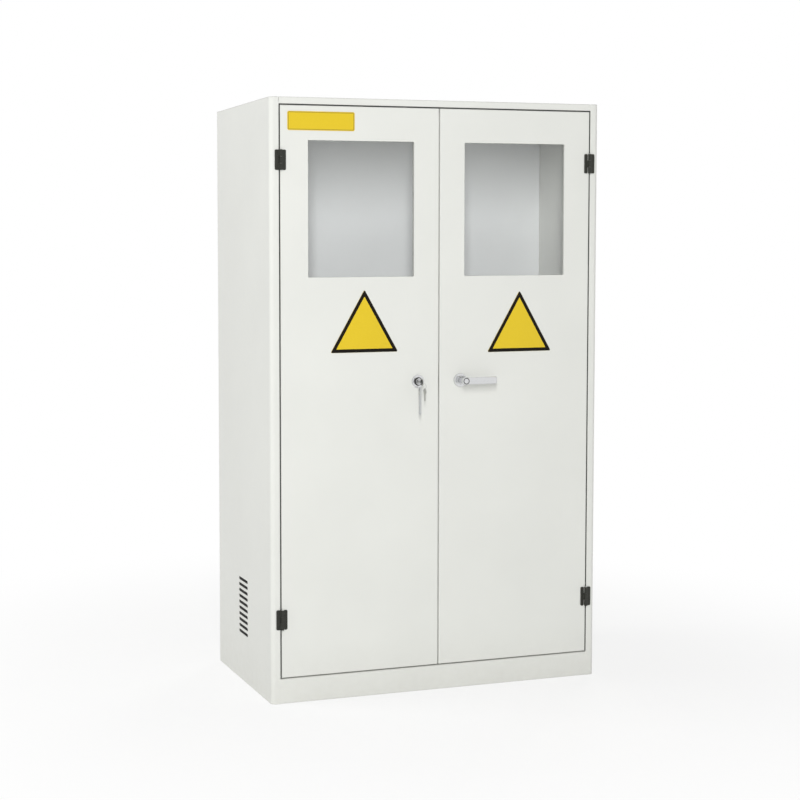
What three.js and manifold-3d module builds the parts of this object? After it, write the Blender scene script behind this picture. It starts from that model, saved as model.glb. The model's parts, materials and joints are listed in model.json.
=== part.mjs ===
import * as THREE from 'three';
import { mergeVertices } from 'three/addons/utils/BufferGeometryUtils.js';
import Module from 'manifold-3d';

// Gas cylinder cabinet: a folded sheet-steel carcass with two windowed doors.
// Lengths are in millimetres. X runs to the right, Y to the back and Z up.
// The origin is on the floor, under the middle of the cabinet.

const wasm = await Module();
wasm.setup();

// Carcass
const cabinetWidth = 1200;
const cabinetDepth = 600;
const cabinetHeight = 2000;
const sheet = 1.5;
const floorSheet = 2;
const foldRadius = 1.5;
const postRadius = 15;
const jambFace = 31.5;
const headerFace = 21;
const sillFace = 83;
const rebateDepth = 38;
const stopWidth = 18;
const rearFlange = 20;
const stiffeningFlange = 15;
const overrun = 5;
const cutClearance = 0.5;
const slotFlat = 0.015; // straight left between a slot's two round ends

// Louvres low on each side
const louvreCount = 10;
const louvreLength = 100;
const louvreHeight = 11;
const louvrePitch = 20.7;
const louvreBottom = 164.5;
const louvreSetBack = 10;

// Base
const channelWeb = 50;
const channelFlange = 20;
const channelEndGap = 2.5;
const channelInset = 100;
const panFlange = 25;
const sillLip = 20;

// Inner back panel, with the exhaust space behind it
const exhaustDepth = 180;
const innerBackTopGap = 65;
const ventCount = 12;
const ventWidth = 8;
const ventHeight = 80;
const ventRise = 60;
const ventRowWidth = 900;

// Exhaust collar
const collarRadius = 62.5;
const collarWall = 1.5;
const collarFlangeRadius = 85;
const collarFlange = 2;
const collarHeight = 40;
const collarNeck = 15;
const collarBead = 2;
const collarBeadDrop = 10;
const collarSegments = 36;

// Cylinder restraint
const cylinderCount = 4;
const cylinderPitch = 285;
const cylinderRadius = 115;
const cylinderClearance = 2;
const railCentreHeight = 1100;
const railFace = 40;
const railFlange = 18;
const railDepth = 25;
const railSheet = 2;
const railLength = 1120;
const bracketSheet = 3;
const bracketHeight = 40;
const bracketHalfAngle = 0.85;
const bracketEar = 24;
const bracketPad = 60;
const strapSlotWidth = 6;
const strapSlotHeight = 28;

// Doors
const doorGap = 4;
const meetingGap = 4;
const doorThickness = 30;
const doorEdgeRadius = 2.5;
const doorInnerFlange = 18;
const windowInnerMargin = 90.5;
const windowOuterMargin = 96;
const windowRiseHeight = 353;
const windowTopMargin = 112.5;
const windowCornerRadius = 3;
const windowLip = 8;
const paneThickness = 5;
const paneOverlap = 12;
const retainerOverlap = 10;
const retainerMargin = 22;
const stiffenerWeb = 40;
const stiffenerFlange = 20;
const stiffenerDepth = 20;
const stiffenerEndGap = 26;

// Seals
const sealWidth = 12;
const sealDoorGap = 0.5;
const sealEdgeGap = 2;
const meetingSealThickness = 2;
const meetingSealWidth = 12;
const meetingSealLockGap = 60;
const meetingSealEndGap = 20;

// Hinges
const hingeHeight = 66;
const hingeTopDrop = 177.5;
const hingeBottomRise = 195.5;
const hingeAxisInset = 3;
const hingeLeafThickness = 3;
const hingeFrameLeaf = 20;
const hingeDoorLeaf = 18;
const hingeBarrelRadius = 5.5;
const hingeBarrelLift = 0.5;
const hingeKnuckleGap = 0.5;
const hingeLeafGap = 0.6;
const hingeCornerRadius = 4;
const hingePinRadius = 2.5;
const hingePinClearance = 0.3;
const hingeHeadRadius = 4.5;
const hingeHead = 1.5;

// Handle, crank and door rods
const hardwareHeight = 1060;
const handleInset = 75;
const roseRadius = 23;
const roseThickness = 9;
const roseRounding = 3;
const neckRadius = 9;
const neckRunningGap = 0.3;
const leverStandOff = 36;
const hubRadius = 13;
const hubRounding = 2.5;
const leverLength = 119;
const leverThickness = 9;
const leverHeight = 24;
const leverReturn = 20;
const leverBend = 12;
const leverRounding = 2.5;
const spindleSize = 8;
const socketClearance = 0.3;
const socketDepth = 14;
const spindleBore = 6.5;
const backplateWidth = 46;
const backplateHeight = 96;
const backplateThickness = 3;
const backplateRounding = 8;
const crankGap = 0.5;
const crankThickness = 3;
const crankPinRadius = 3;
const crankThrowRadius = 12;
const crankRim = 5;
const pinClearance = 0.7;
const rodWidth = 16;
const rodThickness = 4;
const rodLayerGap = 0.6;
const rodEye = 9;
const rodStraight = 20;
const rodJog = 26;
const rodJogHeight = 46;
const rodSetBack = 2.5;
const rodSlotClearance = 1;
const keeperThickness = 3;
const keeperWidth = 60;
const guideSheet = 2;
const guideHeight = 24;
const guideFlange = 14;
const guideClearance = 0.5;
const guideEndDistance = 50;

// Lock, its bolt and its keys
const lockInset = 76;
const lockRoseRadius = 22;
const lockRoseThickness = 6;
const lockRoseRounding = 2;
const lockHousingRadius = 11;
const lockHousingProud = 6;
const lockHousingDepth = 5;
const lockHoleClearance = 0.5;
const plugRadius = 7;
const plugClearance = 0.4;
const plugProud = 1;
const camRadius = 14;
const camThickness = 2.5;
const camThrowRadius = 10;
const camPinRadius = 2.5;
const camGap = 0.5;
const caseLength = 104;
const caseHeight = 80;
const caseDepth = 20;
const boltThickness = 6;
const boltHeight = 22;
const boltTail = 24;
const boltLayerGap = 0.6;
const boltSetBack = 2.5;
const boltSlotClearance = 1.5;
const keyThickness = 2.2;
const keyBladeWidth = 7;
const keyBladeDepth = 15;
const keywayClearance = 0.3;
const keyShank = 9;
const keyBowRadius = 12;
const keyHoleRadius = 3.5;
const keyHoleOffset = 6;
const ringRadius = 13;
const ringWire = 0.9;
const ringPlay = 0.6;
const ringSpread = 0.73;
const spareBowRadius = 10;
const spareHoleOffset = 5.5;
const spareShankWidth = 7;
const spareLength = 43;
const tagThickness = 3;
const tagWidth = 14;
const tagLength = 92;
const tagHoleRadius = 4;
const tagHoleInset = 8;

// Planes and places that follow from the sizes
const halfWidth = cabinetWidth / 2;
const front = -cabinetDepth / 2;
const back = cabinetDepth / 2;
const roofUnderside = cabinetHeight - sheet;
const openingEdge = halfWidth - jambFace;
const openingTop = roofUnderside - headerFace;
const stopFront = front + rebateDepth;
const stopEdge = openingEdge - stopWidth;
const backSheetFront = back - sheet - sheet;
const innerHalf = halfWidth - sheet;
const panFront = stopFront + sheet + floorSheet;
const innerBackFront = back - exhaustDepth;
const doorOuter = openingEdge - doorGap;
const doorInner = meetingGap / 2;
const doorBottom = sillFace + doorGap;
const doorTop = openingTop - doorGap;
const doorBack = front + doorThickness;
const hingeTopCentre = doorTop - hingeTopDrop;
const hingeBottomCentre = doorBottom + hingeBottomRise;
const skinBack = front + sheet;
const windowInner = doorInner + windowInnerMargin;
const windowOuter = doorOuter - windowOuterMargin;
const windowTop = doorTop - windowTopMargin;
const windowBottom = hardwareHeight + windowRiseHeight;
const windowCentre = (windowInner + windowOuter) / 2;
const paneFront = front + windowLip;
const paneBack = paneFront + paneThickness;
const hingeAxis = openingEdge - doorGap / 2 - hingeAxisInset;
const hingeAxisY = front - hingeBarrelLift - hingeBarrelRadius;
const handleAxis = doorInner + handleInset;
const lockAxis = -doorInner - lockInset;
const exhaustCentreY = (innerBackFront + sheet + backSheetFront) / 2;

// Colours
const warmWhite = 0xe6e7e2;
const insideGrey = 0xc9cfd0;
const hingeBlack = 0x34352f;
const sealGrey = 0x55585a;
const glassTint = 0xc7d3d4;
const tagGrey = 0xc4c6c6;

function painted(color) {
  return new THREE.MeshStandardMaterial({ color, roughness: 0.45, metalness: 0 });
}

function bareMetal(color, roughness) {
  return new THREE.MeshStandardMaterial({ color, roughness, metalness: 1 });
}

function rubber() {
  return new THREE.MeshStandardMaterial({ color: sealGrey, roughness: 0.8, metalness: 0 });
}

function moulded() {
  return new THREE.MeshStandardMaterial({ color: tagGrey, roughness: 0.5, metalness: 0 });
}

function glass() {
  return new THREE.MeshStandardMaterial({
    color: glassTint, roughness: 0.05, metalness: 0, transparent: true, opacity: 0.35,
  });
}

const zinc = () => bareMetal(0xb4b8bb, 0.4);
const chrome = () => bareMetal(0xd8dadc, 0.15);

// Solids

function solidOf(geometry) {
  const bare = geometry.clone();
  bare.deleteAttribute('normal');
  bare.deleteAttribute('uv');
  const merged = mergeVertices(bare);
  return new wasm.Manifold(new wasm.Mesh({
    numProp: 3,
    vertProperties: new Float32Array(merged.attributes.position.array),
    triVerts: new Uint32Array(merged.index.array),
  }));
}

function geometryOf(solid) {
  const mesh = solid.getMesh();
  const geometry = new THREE.BufferGeometry();
  geometry.setAttribute('position', new THREE.BufferAttribute(mesh.vertProperties, 3));
  geometry.setIndex(new THREE.BufferAttribute(mesh.triVerts, 1));
  geometry.computeVertexNormals();
  return geometry;
}

function block([x0, x1], [y0, y1], [z0, z1]) {
  const box = new THREE.BoxGeometry(Math.abs(x1 - x0), Math.abs(y1 - y0), Math.abs(z1 - z0));
  box.translate((x0 + x1) / 2, (y0 + y1) / 2, (z0 + z1) / 2);
  return solidOf(box);
}

const xAxis = new THREE.Vector3(1, 0, 0);
const yAxis = new THREE.Vector3(0, 1, 0);
const zAxis = new THREE.Vector3(0, 0, 1);

function extruded(shape, length, { rounding = 0, arcSteps = 4 } = {}) {
  return new THREE.ExtrudeGeometry(shape, {
    depth: length - 2 * rounding,
    bevelEnabled: rounding > 0,
    bevelThickness: rounding,
    bevelSize: rounding,
    bevelOffset: -rounding,
    bevelSegments: 3,
    curveSegments: arcSteps / 2,
  }).translate(0, 0, rounding);
}

// A shape drawn in X and Y, from z0 up to z1.
function alongZ(shape, z0, z1, finish) {
  return solidOf(extruded(shape, z1 - z0, finish).translate(0, 0, z0));
}

// A shape drawn in Y and Z, from x0 to x1.
function alongX(shape, x0, x1, finish) {
  const turn = new THREE.Matrix4().makeBasis(yAxis, zAxis, xAxis);
  return solidOf(extruded(shape, x1 - x0, finish).applyMatrix4(turn).translate(x0, 0, 0));
}

// A shape drawn in X and Z, from y0 back to y1.
function alongY(shape, y0, y1, finish) {
  const turn = new THREE.Matrix4().makeBasis(xAxis, zAxis, yAxis.clone().negate());
  return solidOf(extruded(shape, y1 - y0, finish).applyMatrix4(turn).translate(0, y1, 0));
}

// A profile of [radius, distance] points turned about an axis that runs along -Y from y0.
function turnedForward(profile, x, y0, z, segments = 32) {
  const points = profile.map(([radius, distance]) => new THREE.Vector2(radius, distance));
  const geometry = new THREE.LatheGeometry(points, segments);
  geometry.rotateX(Math.PI);
  return solidOf(geometry.translate(x, y0, z));
}

function rod(x, y0, y1, z, radius, segments = 24) {
  const geometry = new THREE.CylinderGeometry(radius, radius, y1 - y0, segments);
  return solidOf(geometry.translate(x, (y0 + y1) / 2, z));
}

function upright(x, y, z0, z1, radius, segments = 24) {
  const geometry = new THREE.CylinderGeometry(radius, radius, z1 - z0, segments);
  return solidOf(geometry.rotateX(Math.PI / 2).translate(x, y, (z0 + z1) / 2));
}

function mirroredInX(solid) {
  const geometry = geometryOf(solid).scale(-1, 1, 1);
  const corners = geometry.index.array;
  for (let i = 0; i < corners.length; i += 3) {
    [corners[i], corners[i + 1]] = [corners[i + 1], corners[i]];
  }
  return solidOf(geometry);
}

function rounded(u0, u1, v0, v1, radius) {
  const shape = new THREE.Shape();
  shape.moveTo(u0 + radius, v0);
  shape.lineTo(u1 - radius, v0);
  shape.absarc(u1 - radius, v0 + radius, radius, -Math.PI / 2, 0);
  shape.lineTo(u1, v1 - radius);
  shape.absarc(u1 - radius, v1 - radius, radius, 0, Math.PI / 2);
  shape.lineTo(u0 + radius, v1);
  shape.absarc(u0 + radius, v1 - radius, radius, Math.PI / 2, Math.PI);
  shape.lineTo(u0, v0 + radius);
  shape.absarc(u0 + radius, v0 + radius, radius, Math.PI, Math.PI * 1.5);
  return shape;
}

function outline(points) {
  return new THREE.Shape(points.map(([u, v]) => new THREE.Vector2(u, v)));
}

// The section of a folded sheet: a path along one face, with the sheet on its left.
// Each bend has the given inside radius, or the one in radii for that point of the path.
function foldedSection(path, thickness, radii = {}) {
  const corner = path.map(([u, v]) => new THREE.Vector2(u, v));
  const heading = corner.slice(1).map((point, i) => point.clone().sub(corner[i]).normalize());
  const leftOf = (direction) => new THREE.Vector2(-direction.y, direction.x);
  const face = (offset) => {
    const line = [];
    corner.forEach((point, i) => {
      const before = heading[i - 1];
      const after = heading[i];
      if (!before || !after) {
        line.push(point.clone().addScaledVector(leftOf(before ?? after), offset));
        return;
      }
      const turn = before.cross(after);
      const bisector = leftOf(before).add(leftOf(after));
      const miter = point.clone().addScaledVector(bisector, 2 * offset / bisector.lengthSq());
      const inside = radii[i] ?? foldRadius;
      const isInside = turn > 0 ? offset > 0 : offset === 0;
      const radius = isInside ? inside : inside + thickness;
      const angle = Math.abs(before.angleTo(after));
      const reach = radius * Math.tan(angle / 2);
      const start = miter.clone().addScaledVector(before, -reach);
      const centre = start.clone().addScaledVector(leftOf(before), Math.sign(turn) * radius);
      const steps = Math.max(2, Math.ceil(angle * Math.sqrt(radius)));
      for (let k = 0; k <= steps; k += 1) {
        line.push(start.clone().rotateAround(centre, Math.sign(turn) * angle * k / steps));
      }
    });
    return line;
  };
  return new THREE.Shape([...face(0), ...face(thickness).reverse()]);
}

// Carcass pieces

function sidePanel() {
  const section = foldedSection([
    [-halfWidth + rearFlange, back],
    [-halfWidth, back],
    [-halfWidth, front],
    [-openingEdge, front],
    [-openingEdge, stopFront],
    [-stopEdge, stopFront],
  ], sheet, { 2: postRadius - sheet });
  let panel = alongZ(section, 0, roofUnderside);
  const stopSpan = [-openingEdge, -stopEdge + overrun];
  const stopDepth = [stopFront - overrun, stopFront + overrun];
  panel = panel.subtract(block(stopSpan, stopDepth, [openingTop, cabinetHeight]));
  panel = panel.subtract(block(stopSpan, stopDepth, [-overrun, sillFace]));
  const slot = rounded(
    louvreSetBack - louvreLength / 2, louvreSetBack + louvreLength / 2, 0, louvreHeight,
    louvreHeight / 2 - slotFlat,
  );
  const cutter = alongX(slot, -halfWidth - overrun, -innerHalf + overrun);
  for (let i = 0; i < louvreCount; i += 1) {
    panel = panel.subtract(cutter.translate([0, 0, louvreBottom + i * louvrePitch]));
  }
  return panel;
}

function backPanel() {
  const half = innerHalf - foldRadius - cutClearance;
  return block([-half, half], [backSheetFront, backSheetFront + sheet], [0, roofUnderside]);
}

function roofPanel() {
  const top = new THREE.Shape();
  top.moveTo(-halfWidth, back);
  top.lineTo(-halfWidth, front + postRadius);
  top.absarc(-halfWidth + postRadius, front + postRadius, postRadius, Math.PI, Math.PI * 1.5);
  top.absarc(halfWidth - postRadius, front + postRadius, postRadius, Math.PI * 1.5, Math.PI * 2);
  top.lineTo(halfWidth, back);
  let roof = alongZ(top, roofUnderside, cabinetHeight, { arcSteps: 6 });
  for (const side of [-1, 1]) {
    roof = roof.add(block(
      [side * innerHalf, side * (innerHalf - sheet)],
      [stopFront + stopWidth, back - rearFlange],
      [roofUnderside - stiffeningFlange, roofUnderside],
    ));
  }
  return roof.subtract(upright(
    0, exhaustCentreY, roofUnderside - overrun, cabinetHeight + overrun,
    collarRadius + cutClearance, collarSegments,
  ));
}

function headerRail() {
  const section = foldedSection([
    [front, roofUnderside],
    [front, openingTop],
    [stopFront, openingTop],
    [stopFront, openingTop - stopWidth],
  ], sheet);
  let rail = alongX(section, -openingEdge, openingEdge);
  for (const side of [-1, 1]) {
    rail = rail.subtract(block(
      [side * stopEdge, side * (openingEdge + overrun)],
      [stopFront - overrun, stopFront + overrun],
      [openingTop - stopWidth - overrun, openingTop],
    ));
  }
  return rail.subtract(rodSlot(rodTopX, openingTop));
}

function sillRail() {
  const section = foldedSection([
    [panFront, sillFace - sillLip],
    [panFront, sillFace],
    [front, sillFace],
    [front, 0],
    [front + sillLip, 0],
  ], sheet);
  return alongX(section, -openingEdge, openingEdge).subtract(rodSlot(rodBottomX, sillFace));
}

function floorPan() {
  const under = sillFace - floorSheet;
  const pan = block([-innerHalf, innerHalf], [panFront, backSheetFront], [sillFace - panFlange, sillFace]);
  return pan.subtract(block(
    [-innerHalf + floorSheet, innerHalf - floorSheet],
    [panFront + floorSheet, backSheetFront - floorSheet],
    [sillFace - panFlange - overrun, under],
  ));
}

function baseChannel(y) {
  const top = sillFace - floorSheet - floorSheet;
  const web = channelWeb / 2;
  const section = foldedSection([
    [y - web - channelFlange, top],
    [y - web, top],
    [y - web, 0],
    [y + web, 0],
    [y + web, top],
    [y + web + channelFlange, top],
  ], floorSheet);
  return alongX(section, -innerHalf + channelEndGap, innerHalf - channelEndGap);
}

function innerBackPanel() {
  const section = foldedSection([
    [-innerHalf, innerBackFront + stiffeningFlange],
    [-innerHalf, innerBackFront],
    [innerHalf, innerBackFront],
    [innerHalf, innerBackFront + stiffeningFlange],
  ], sheet);
  let panel = alongZ(section, sillFace, cabinetHeight - innerBackTopGap);
  const vent = rounded(
    -ventWidth / 2, ventWidth / 2, sillFace + ventRise, sillFace + ventRise + ventHeight,
    ventWidth / 2 - slotFlat,
  );
  const cutter = alongY(vent, innerBackFront - overrun, innerBackFront + overrun);
  for (let i = 0; i < ventCount; i += 1) {
    const x = ventRowWidth * (i / (ventCount - 1) - 0.5);
    panel = panel.subtract(cutter.translate([x, 0, 0]));
  }
  return panel;
}

function exhaustCollar() {
  const bore = collarRadius - collarWall;
  const top = cabinetHeight + collarHeight;
  const bead = top - collarBeadDrop;
  const profile = [
    [bore, cabinetHeight - collarNeck],
    [collarRadius, cabinetHeight - collarNeck],
    [collarRadius, cabinetHeight],
    [collarFlangeRadius, cabinetHeight],
    [collarFlangeRadius, cabinetHeight + collarFlange],
    [collarRadius, cabinetHeight + collarFlange],
    [collarRadius, bead - collarBead],
    [collarRadius + collarBead, bead],
    [collarRadius, bead + collarBead],
    [collarRadius, top],
    [bore, top],
    [bore, cabinetHeight - collarNeck],
  ].map(([radius, height]) => new THREE.Vector2(radius, height));
  const geometry = new THREE.LatheGeometry(profile, collarSegments).rotateX(Math.PI / 2);
  return solidOf(geometry.translate(0, exhaustCentreY, 0));
}

function bracketRail() {
  const face = railFace / 2;
  const hollowFront = innerBackFront - railDepth + railSheet;
  const section = foldedSection([
    [innerBackFront, railCentreHeight - face - railFlange],
    [innerBackFront, railCentreHeight - face],
    [hollowFront, railCentreHeight - face],
    [hollowFront, railCentreHeight + face],
    [innerBackFront, railCentreHeight + face],
    [innerBackFront, railCentreHeight + face + railFlange],
  ], railSheet);
  return alongX(section, -railLength / 2, railLength / 2);
}

function cylinderBracket(x) {
  const padBack = innerBackFront - railDepth;
  const inner = cylinderRadius + cylinderClearance;
  const outer = inner + bracketSheet;
  const centre = padBack - bracketSheet - outer;
  const tip = bracketHalfAngle;
  const band = new THREE.Shape();
  band.absarc(x, centre, outer, Math.PI / 2 - tip, Math.PI / 2 + tip, false);
  band.lineTo(x - outer * Math.sin(tip) - bracketEar, centre + outer * Math.cos(tip));
  band.lineTo(x - outer * Math.sin(tip) - bracketEar, centre + outer * Math.cos(tip) - bracketSheet);
  band.lineTo(x - inner * Math.sin(tip), centre + outer * Math.cos(tip) - bracketSheet);
  band.absarc(x, centre, inner, Math.PI / 2 + tip, Math.PI / 2 - tip, true);
  band.lineTo(x + inner * Math.sin(tip), centre + outer * Math.cos(tip) - bracketSheet);
  band.lineTo(x + outer * Math.sin(tip) + bracketEar, centre + outer * Math.cos(tip) - bracketSheet);
  band.lineTo(x + outer * Math.sin(tip) + bracketEar, centre + outer * Math.cos(tip));
  const low = railCentreHeight - bracketHeight / 2;
  let bracket = alongZ(band, low, low + bracketHeight, { arcSteps: 14 }).add(block(
    [x - bracketPad / 2, x + bracketPad / 2],
    [padBack - bracketSheet * 2, padBack],
    [low, low + bracketHeight],
  ));
  for (const side of [-1, 1]) {
    const ear = x + side * (outer * Math.sin(tip) + bracketEar / 2);
    bracket = bracket.subtract(block(
      [ear - strapSlotWidth / 2, ear + strapSlotWidth / 2],
      [centre, padBack],
      [railCentreHeight - strapSlotHeight / 2, railCentreHeight + strapSlotHeight / 2],
    ));
  }
  return bracket;
}

function frameSeal() {
  const out = openingEdge - sealEdgeGap;
  const inside = out - sealWidth;
  const top = openingTop - sealEdgeGap;
  const section = outline([
    [-out, doorBottom], [-inside, doorBottom], [-inside, top - sealWidth],
    [inside, top - sealWidth], [inside, doorBottom], [out, doorBottom], [out, top], [-out, top],
  ]);
  return alongY(section, doorBack + sealDoorGap, stopFront);
}

// Hinges: the frame leaf has the outer knuckles and the door leaf the middle one.

function knuckle(z0, z1) {
  return upright(-hingeAxis, hingeAxisY, z0, z1, hingeBarrelRadius, 18);
}

function hingeBore(z0, z1) {
  return upright(-hingeAxis, hingeAxisY, z0, z1, hingePinRadius + hingePinClearance, 14);
}

function leafPlate(x0, x1, centre) {
  const low = centre - hingeHeight / 2;
  const plate = rounded(x0, x1, low, low + hingeHeight, hingeCornerRadius);
  return alongY(plate, front - hingeLeafThickness, front);
}

function leafWeb(side, z0, z1) {
  return block(
    [-hingeAxis, -hingeAxis + side * (hingeBarrelRadius + hingeLeafGap + hingeCornerRadius)],
    [hingeAxisY, front - hingeBarrelLift],
    [z0, z1],
  );
}

function frameLeaf(centre) {
  const low = centre - hingeHeight / 2;
  const high = centre + hingeHeight / 2;
  const third = hingeHeight / 6;
  const plateEdge = -hingeAxis - hingeBarrelRadius - hingeLeafGap;
  let leaf = leafPlate(-hingeAxis - hingeFrameLeaf, plateEdge, centre);
  const spans = [
    [low, centre - third - hingeKnuckleGap],
    [centre + third + hingeKnuckleGap, high],
  ];
  for (const [z0, z1] of spans) {
    leaf = leaf.add(knuckle(z0, z1)).add(leafWeb(-1, z0, z1));
  }
  return leaf.subtract(hingeBore(low - overrun, high + overrun));
}

function doorLeaf(centre) {
  const third = hingeHeight / 6;
  const plateEdge = -hingeAxis + hingeBarrelRadius + hingeLeafGap;
  return leafPlate(plateEdge, -hingeAxis + hingeDoorLeaf, centre)
    .add(knuckle(centre - third, centre + third))
    .add(leafWeb(1, centre - third, centre + third))
    .subtract(hingeBore(centre - hingeHeight, centre + hingeHeight));
}

function hingePin(centre) {
  const low = centre - hingeHeight / 2;
  const high = centre + hingeHeight / 2 + hingePinClearance;
  return upright(-hingeAxis, hingeAxisY, low, high, hingePinRadius, 14)
    .add(upright(-hingeAxis, hingeAxisY, high, high + hingeHead, hingeHeadRadius, 14));
}

// Doors, drawn as the left one

function doorPan() {
  const leaf = outline([
    [-doorOuter, doorBottom], [-doorInner, doorBottom], [-doorInner, doorTop], [-doorOuter, doorTop],
  ]);
  let pan = alongY(leaf, front, doorBack + doorEdgeRadius, { rounding: doorEdgeRadius });
  const wide = [-doorOuter - overrun, -doorInner + overrun];
  const tall = [doorBottom - overrun, doorTop + overrun];
  pan = pan.subtract(block(wide, [doorBack, doorBack + doorThickness], tall));
  pan = pan.subtract(block(
    [-doorOuter + sheet, -doorInner - sheet],
    [skinBack, doorBack - sheet],
    [doorBottom + sheet, doorTop - sheet],
  ));
  pan = pan.subtract(block(
    [-doorOuter + doorInnerFlange, -doorInner - doorInnerFlange],
    [skinBack, doorBack + overrun],
    [doorBottom + doorInnerFlange, doorTop - doorInnerFlange],
  ));
  const lip = rounded(
    -windowOuter - sheet, -windowInner + sheet, windowBottom - sheet, windowTop + sheet,
    windowCornerRadius + sheet,
  );
  const hole = rounded(-windowOuter, -windowInner, windowBottom, windowTop, windowCornerRadius);
  return pan.add(alongY(lip, front + sheet / 2, paneFront))
    .subtract(alongY(hole, front - overrun, paneFront + overrun));
}

function windowPane() {
  return block(
    [-windowOuter - paneOverlap, -windowInner + paneOverlap],
    [paneFront, paneBack],
    [windowBottom - paneOverlap, windowTop + paneOverlap],
  );
}

function windowRetainer() {
  const ring = (grow, y0, y1) => block(
    [-windowOuter - grow, -windowInner + grow], [y0, y1], [windowBottom - grow, windowTop + grow],
  );
  return ring(retainerMargin, skinBack, paneBack + sheet)
    .subtract(ring(retainerMargin - sheet, skinBack - overrun, paneBack))
    .subtract(ring(paneOverlap - retainerOverlap, skinBack, paneBack + overrun));
}

function doorStiffener() {
  const web = stiffenerWeb / 2;
  const far = skinBack + stiffenerDepth;
  const section = foldedSection([
    [-windowCentre + web + stiffenerFlange, skinBack],
    [-windowCentre + web, skinBack],
    [-windowCentre + web, far],
    [-windowCentre - web, far],
    [-windowCentre - web, skinBack],
    [-windowCentre - web - stiffenerFlange, skinBack],
  ].reverse(), sheet);
  return alongZ(section, doorBottom + stiffenerEndGap, windowBottom - retainerMargin - stiffenerEndGap);
}

function meetingSeal(z0, z1) {
  const y = skinBack + doorEdgeRadius;
  return block([-doorInner, -doorInner + meetingSealThickness], [y, y + meetingSealWidth], [z0, z1]);
}

// Lock on the left door: the plug's cam pin slides the bolt through its slot.

const lockLayer = skinBack + lockHousingDepth;
const camFront = lockLayer + camGap;
const camBack = camFront + camThickness;
const boltFront = camBack + boltLayerGap;
const boltBack = boltFront + boltThickness;
const boltMiddle = (boltFront + boltBack) / 2;
const camPinOffset = camThrowRadius * Math.SQRT1_2;

function boltCutter(x0, x1) {
  const half = boltHeight / 2 + boltSlotClearance;
  return block(
    [x0, x1],
    [boltFront - boltSlotClearance, boltBack + boltSlotClearance],
    [hardwareHeight - half, hardwareHeight + half],
  );
}

function lockHole() {
  const radius = lockHousingRadius + lockHoleClearance;
  return rod(lockAxis, front - overrun, skinBack + overrun, hardwareHeight, radius, 32);
}

function doorShellLeft() {
  return doorPan().subtract(lockHole()).subtract(boltCutter(-doorInner - overrun, overrun));
}

function lockCase() {
  const right = -doorInner - sheet;
  const tall = [hardwareHeight - caseHeight / 2, hardwareHeight + caseHeight / 2];
  const shell = block([right - caseLength, right], [skinBack, skinBack + caseDepth], tall);
  return shell.subtract(block(
    [right - caseLength + sheet, right - sheet],
    [skinBack - overrun, skinBack + caseDepth - sheet],
    [tall[0] + sheet, tall[1] - sheet],
  )).subtract(boltCutter(right - overrun, right + overrun));
}

function lockRose() {
  const bore = lockHousingRadius + lockHoleClearance;
  return turnedForward([
    [bore, 0],
    [lockRoseRadius, 0],
    [lockRoseRadius, lockRoseThickness - lockRoseRounding],
    [lockRoseRadius - lockRoseRounding, lockRoseThickness],
    [bore, lockRoseThickness],
    [bore, 0],
  ], lockAxis, front, hardwareHeight, 40);
}

function lockCylinder() {
  const face = front - lockRoseThickness - lockHousingProud;
  return rod(lockAxis, face, lockLayer, hardwareHeight, lockHousingRadius, 32)
    .subtract(rod(
      lockAxis, face - overrun, lockLayer + overrun, hardwareHeight, plugRadius + plugClearance, 32,
    ));
}

const plugFace = front - lockRoseThickness - lockHousingProud - plugProud;

function lockPlug() {
  const keyway = keyThickness / 2 + keywayClearance;
  const keywayHalf = keyBladeWidth / 2 + keywayClearance;
  return rod(lockAxis, plugFace, camFront, hardwareHeight, plugRadius, 24)
    .add(rod(lockAxis, camFront, camBack, hardwareHeight, camRadius, 24))
    .add(rod(lockAxis - camPinOffset, camBack, boltBack, hardwareHeight + camPinOffset, camPinRadius, 16))
    .subtract(block(
      [lockAxis - keyway, lockAxis + keyway],
      [plugFace - overrun, plugFace + keyBladeDepth + keywayClearance],
      [hardwareHeight - keywayHalf, hardwareHeight + keywayHalf],
    ));
}

function lockBolt() {
  const tip = -doorInner - boltSetBack;
  const tail = lockAxis - camPinOffset - boltTail / 2;
  const bolt = block(
    [tail, tip], [boltFront, boltBack],
    [hardwareHeight - boltHeight / 2, hardwareHeight + boltHeight / 2],
  );
  const reach = camPinRadius + pinClearance;
  return bolt.subtract(block(
    [lockAxis - camPinOffset - reach, lockAxis - camPinOffset + reach],
    [boltFront - overrun, boltBack + overrun],
    [hardwareHeight + camPinOffset - reach, hardwareHeight + boltHeight],
  ));
}

// Keys: one in the lock, one on the ring beside a tag.

const bowCentreY = plugFace - keyShank - keyBowRadius;
const bowHoleY = bowCentreY - keyHoleOffset;
const ringTopZ = hardwareHeight - keyHoleRadius + ringWire + ringPlay;
const ringCentreZ = ringTopZ - ringRadius;
const hangerX = ringRadius * Math.sin(ringSpread);
const hangerZ = ringCentreZ - ringRadius * Math.cos(ringSpread);

function flatInX(shape, x, thickness, arcSteps = 4) {
  return alongX(shape, x - thickness / 2, x + thickness / 2, { arcSteps });
}

function disc(y, z, radius, x, thickness) {
  const shape = new THREE.Shape();
  shape.absarc(y, z, radius, 0, Math.PI * 2);
  return flatInX(shape, x, thickness, 20);
}

function doorKey() {
  const half = keyBladeWidth / 2;
  const blade = outline([
    [bowCentreY, hardwareHeight - half],
    [plugFace + keyBladeDepth - half, hardwareHeight - half],
    [plugFace + keyBladeDepth, hardwareHeight],
    [plugFace + keyBladeDepth - half, hardwareHeight + half],
    [bowCentreY, hardwareHeight + half],
  ]);
  return flatInX(blade, lockAxis, keyThickness)
    .add(disc(bowCentreY, hardwareHeight, keyBowRadius, lockAxis, keyThickness))
    .subtract(disc(bowHoleY, hardwareHeight, keyHoleRadius, lockAxis, keyThickness + overrun));
}

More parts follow.
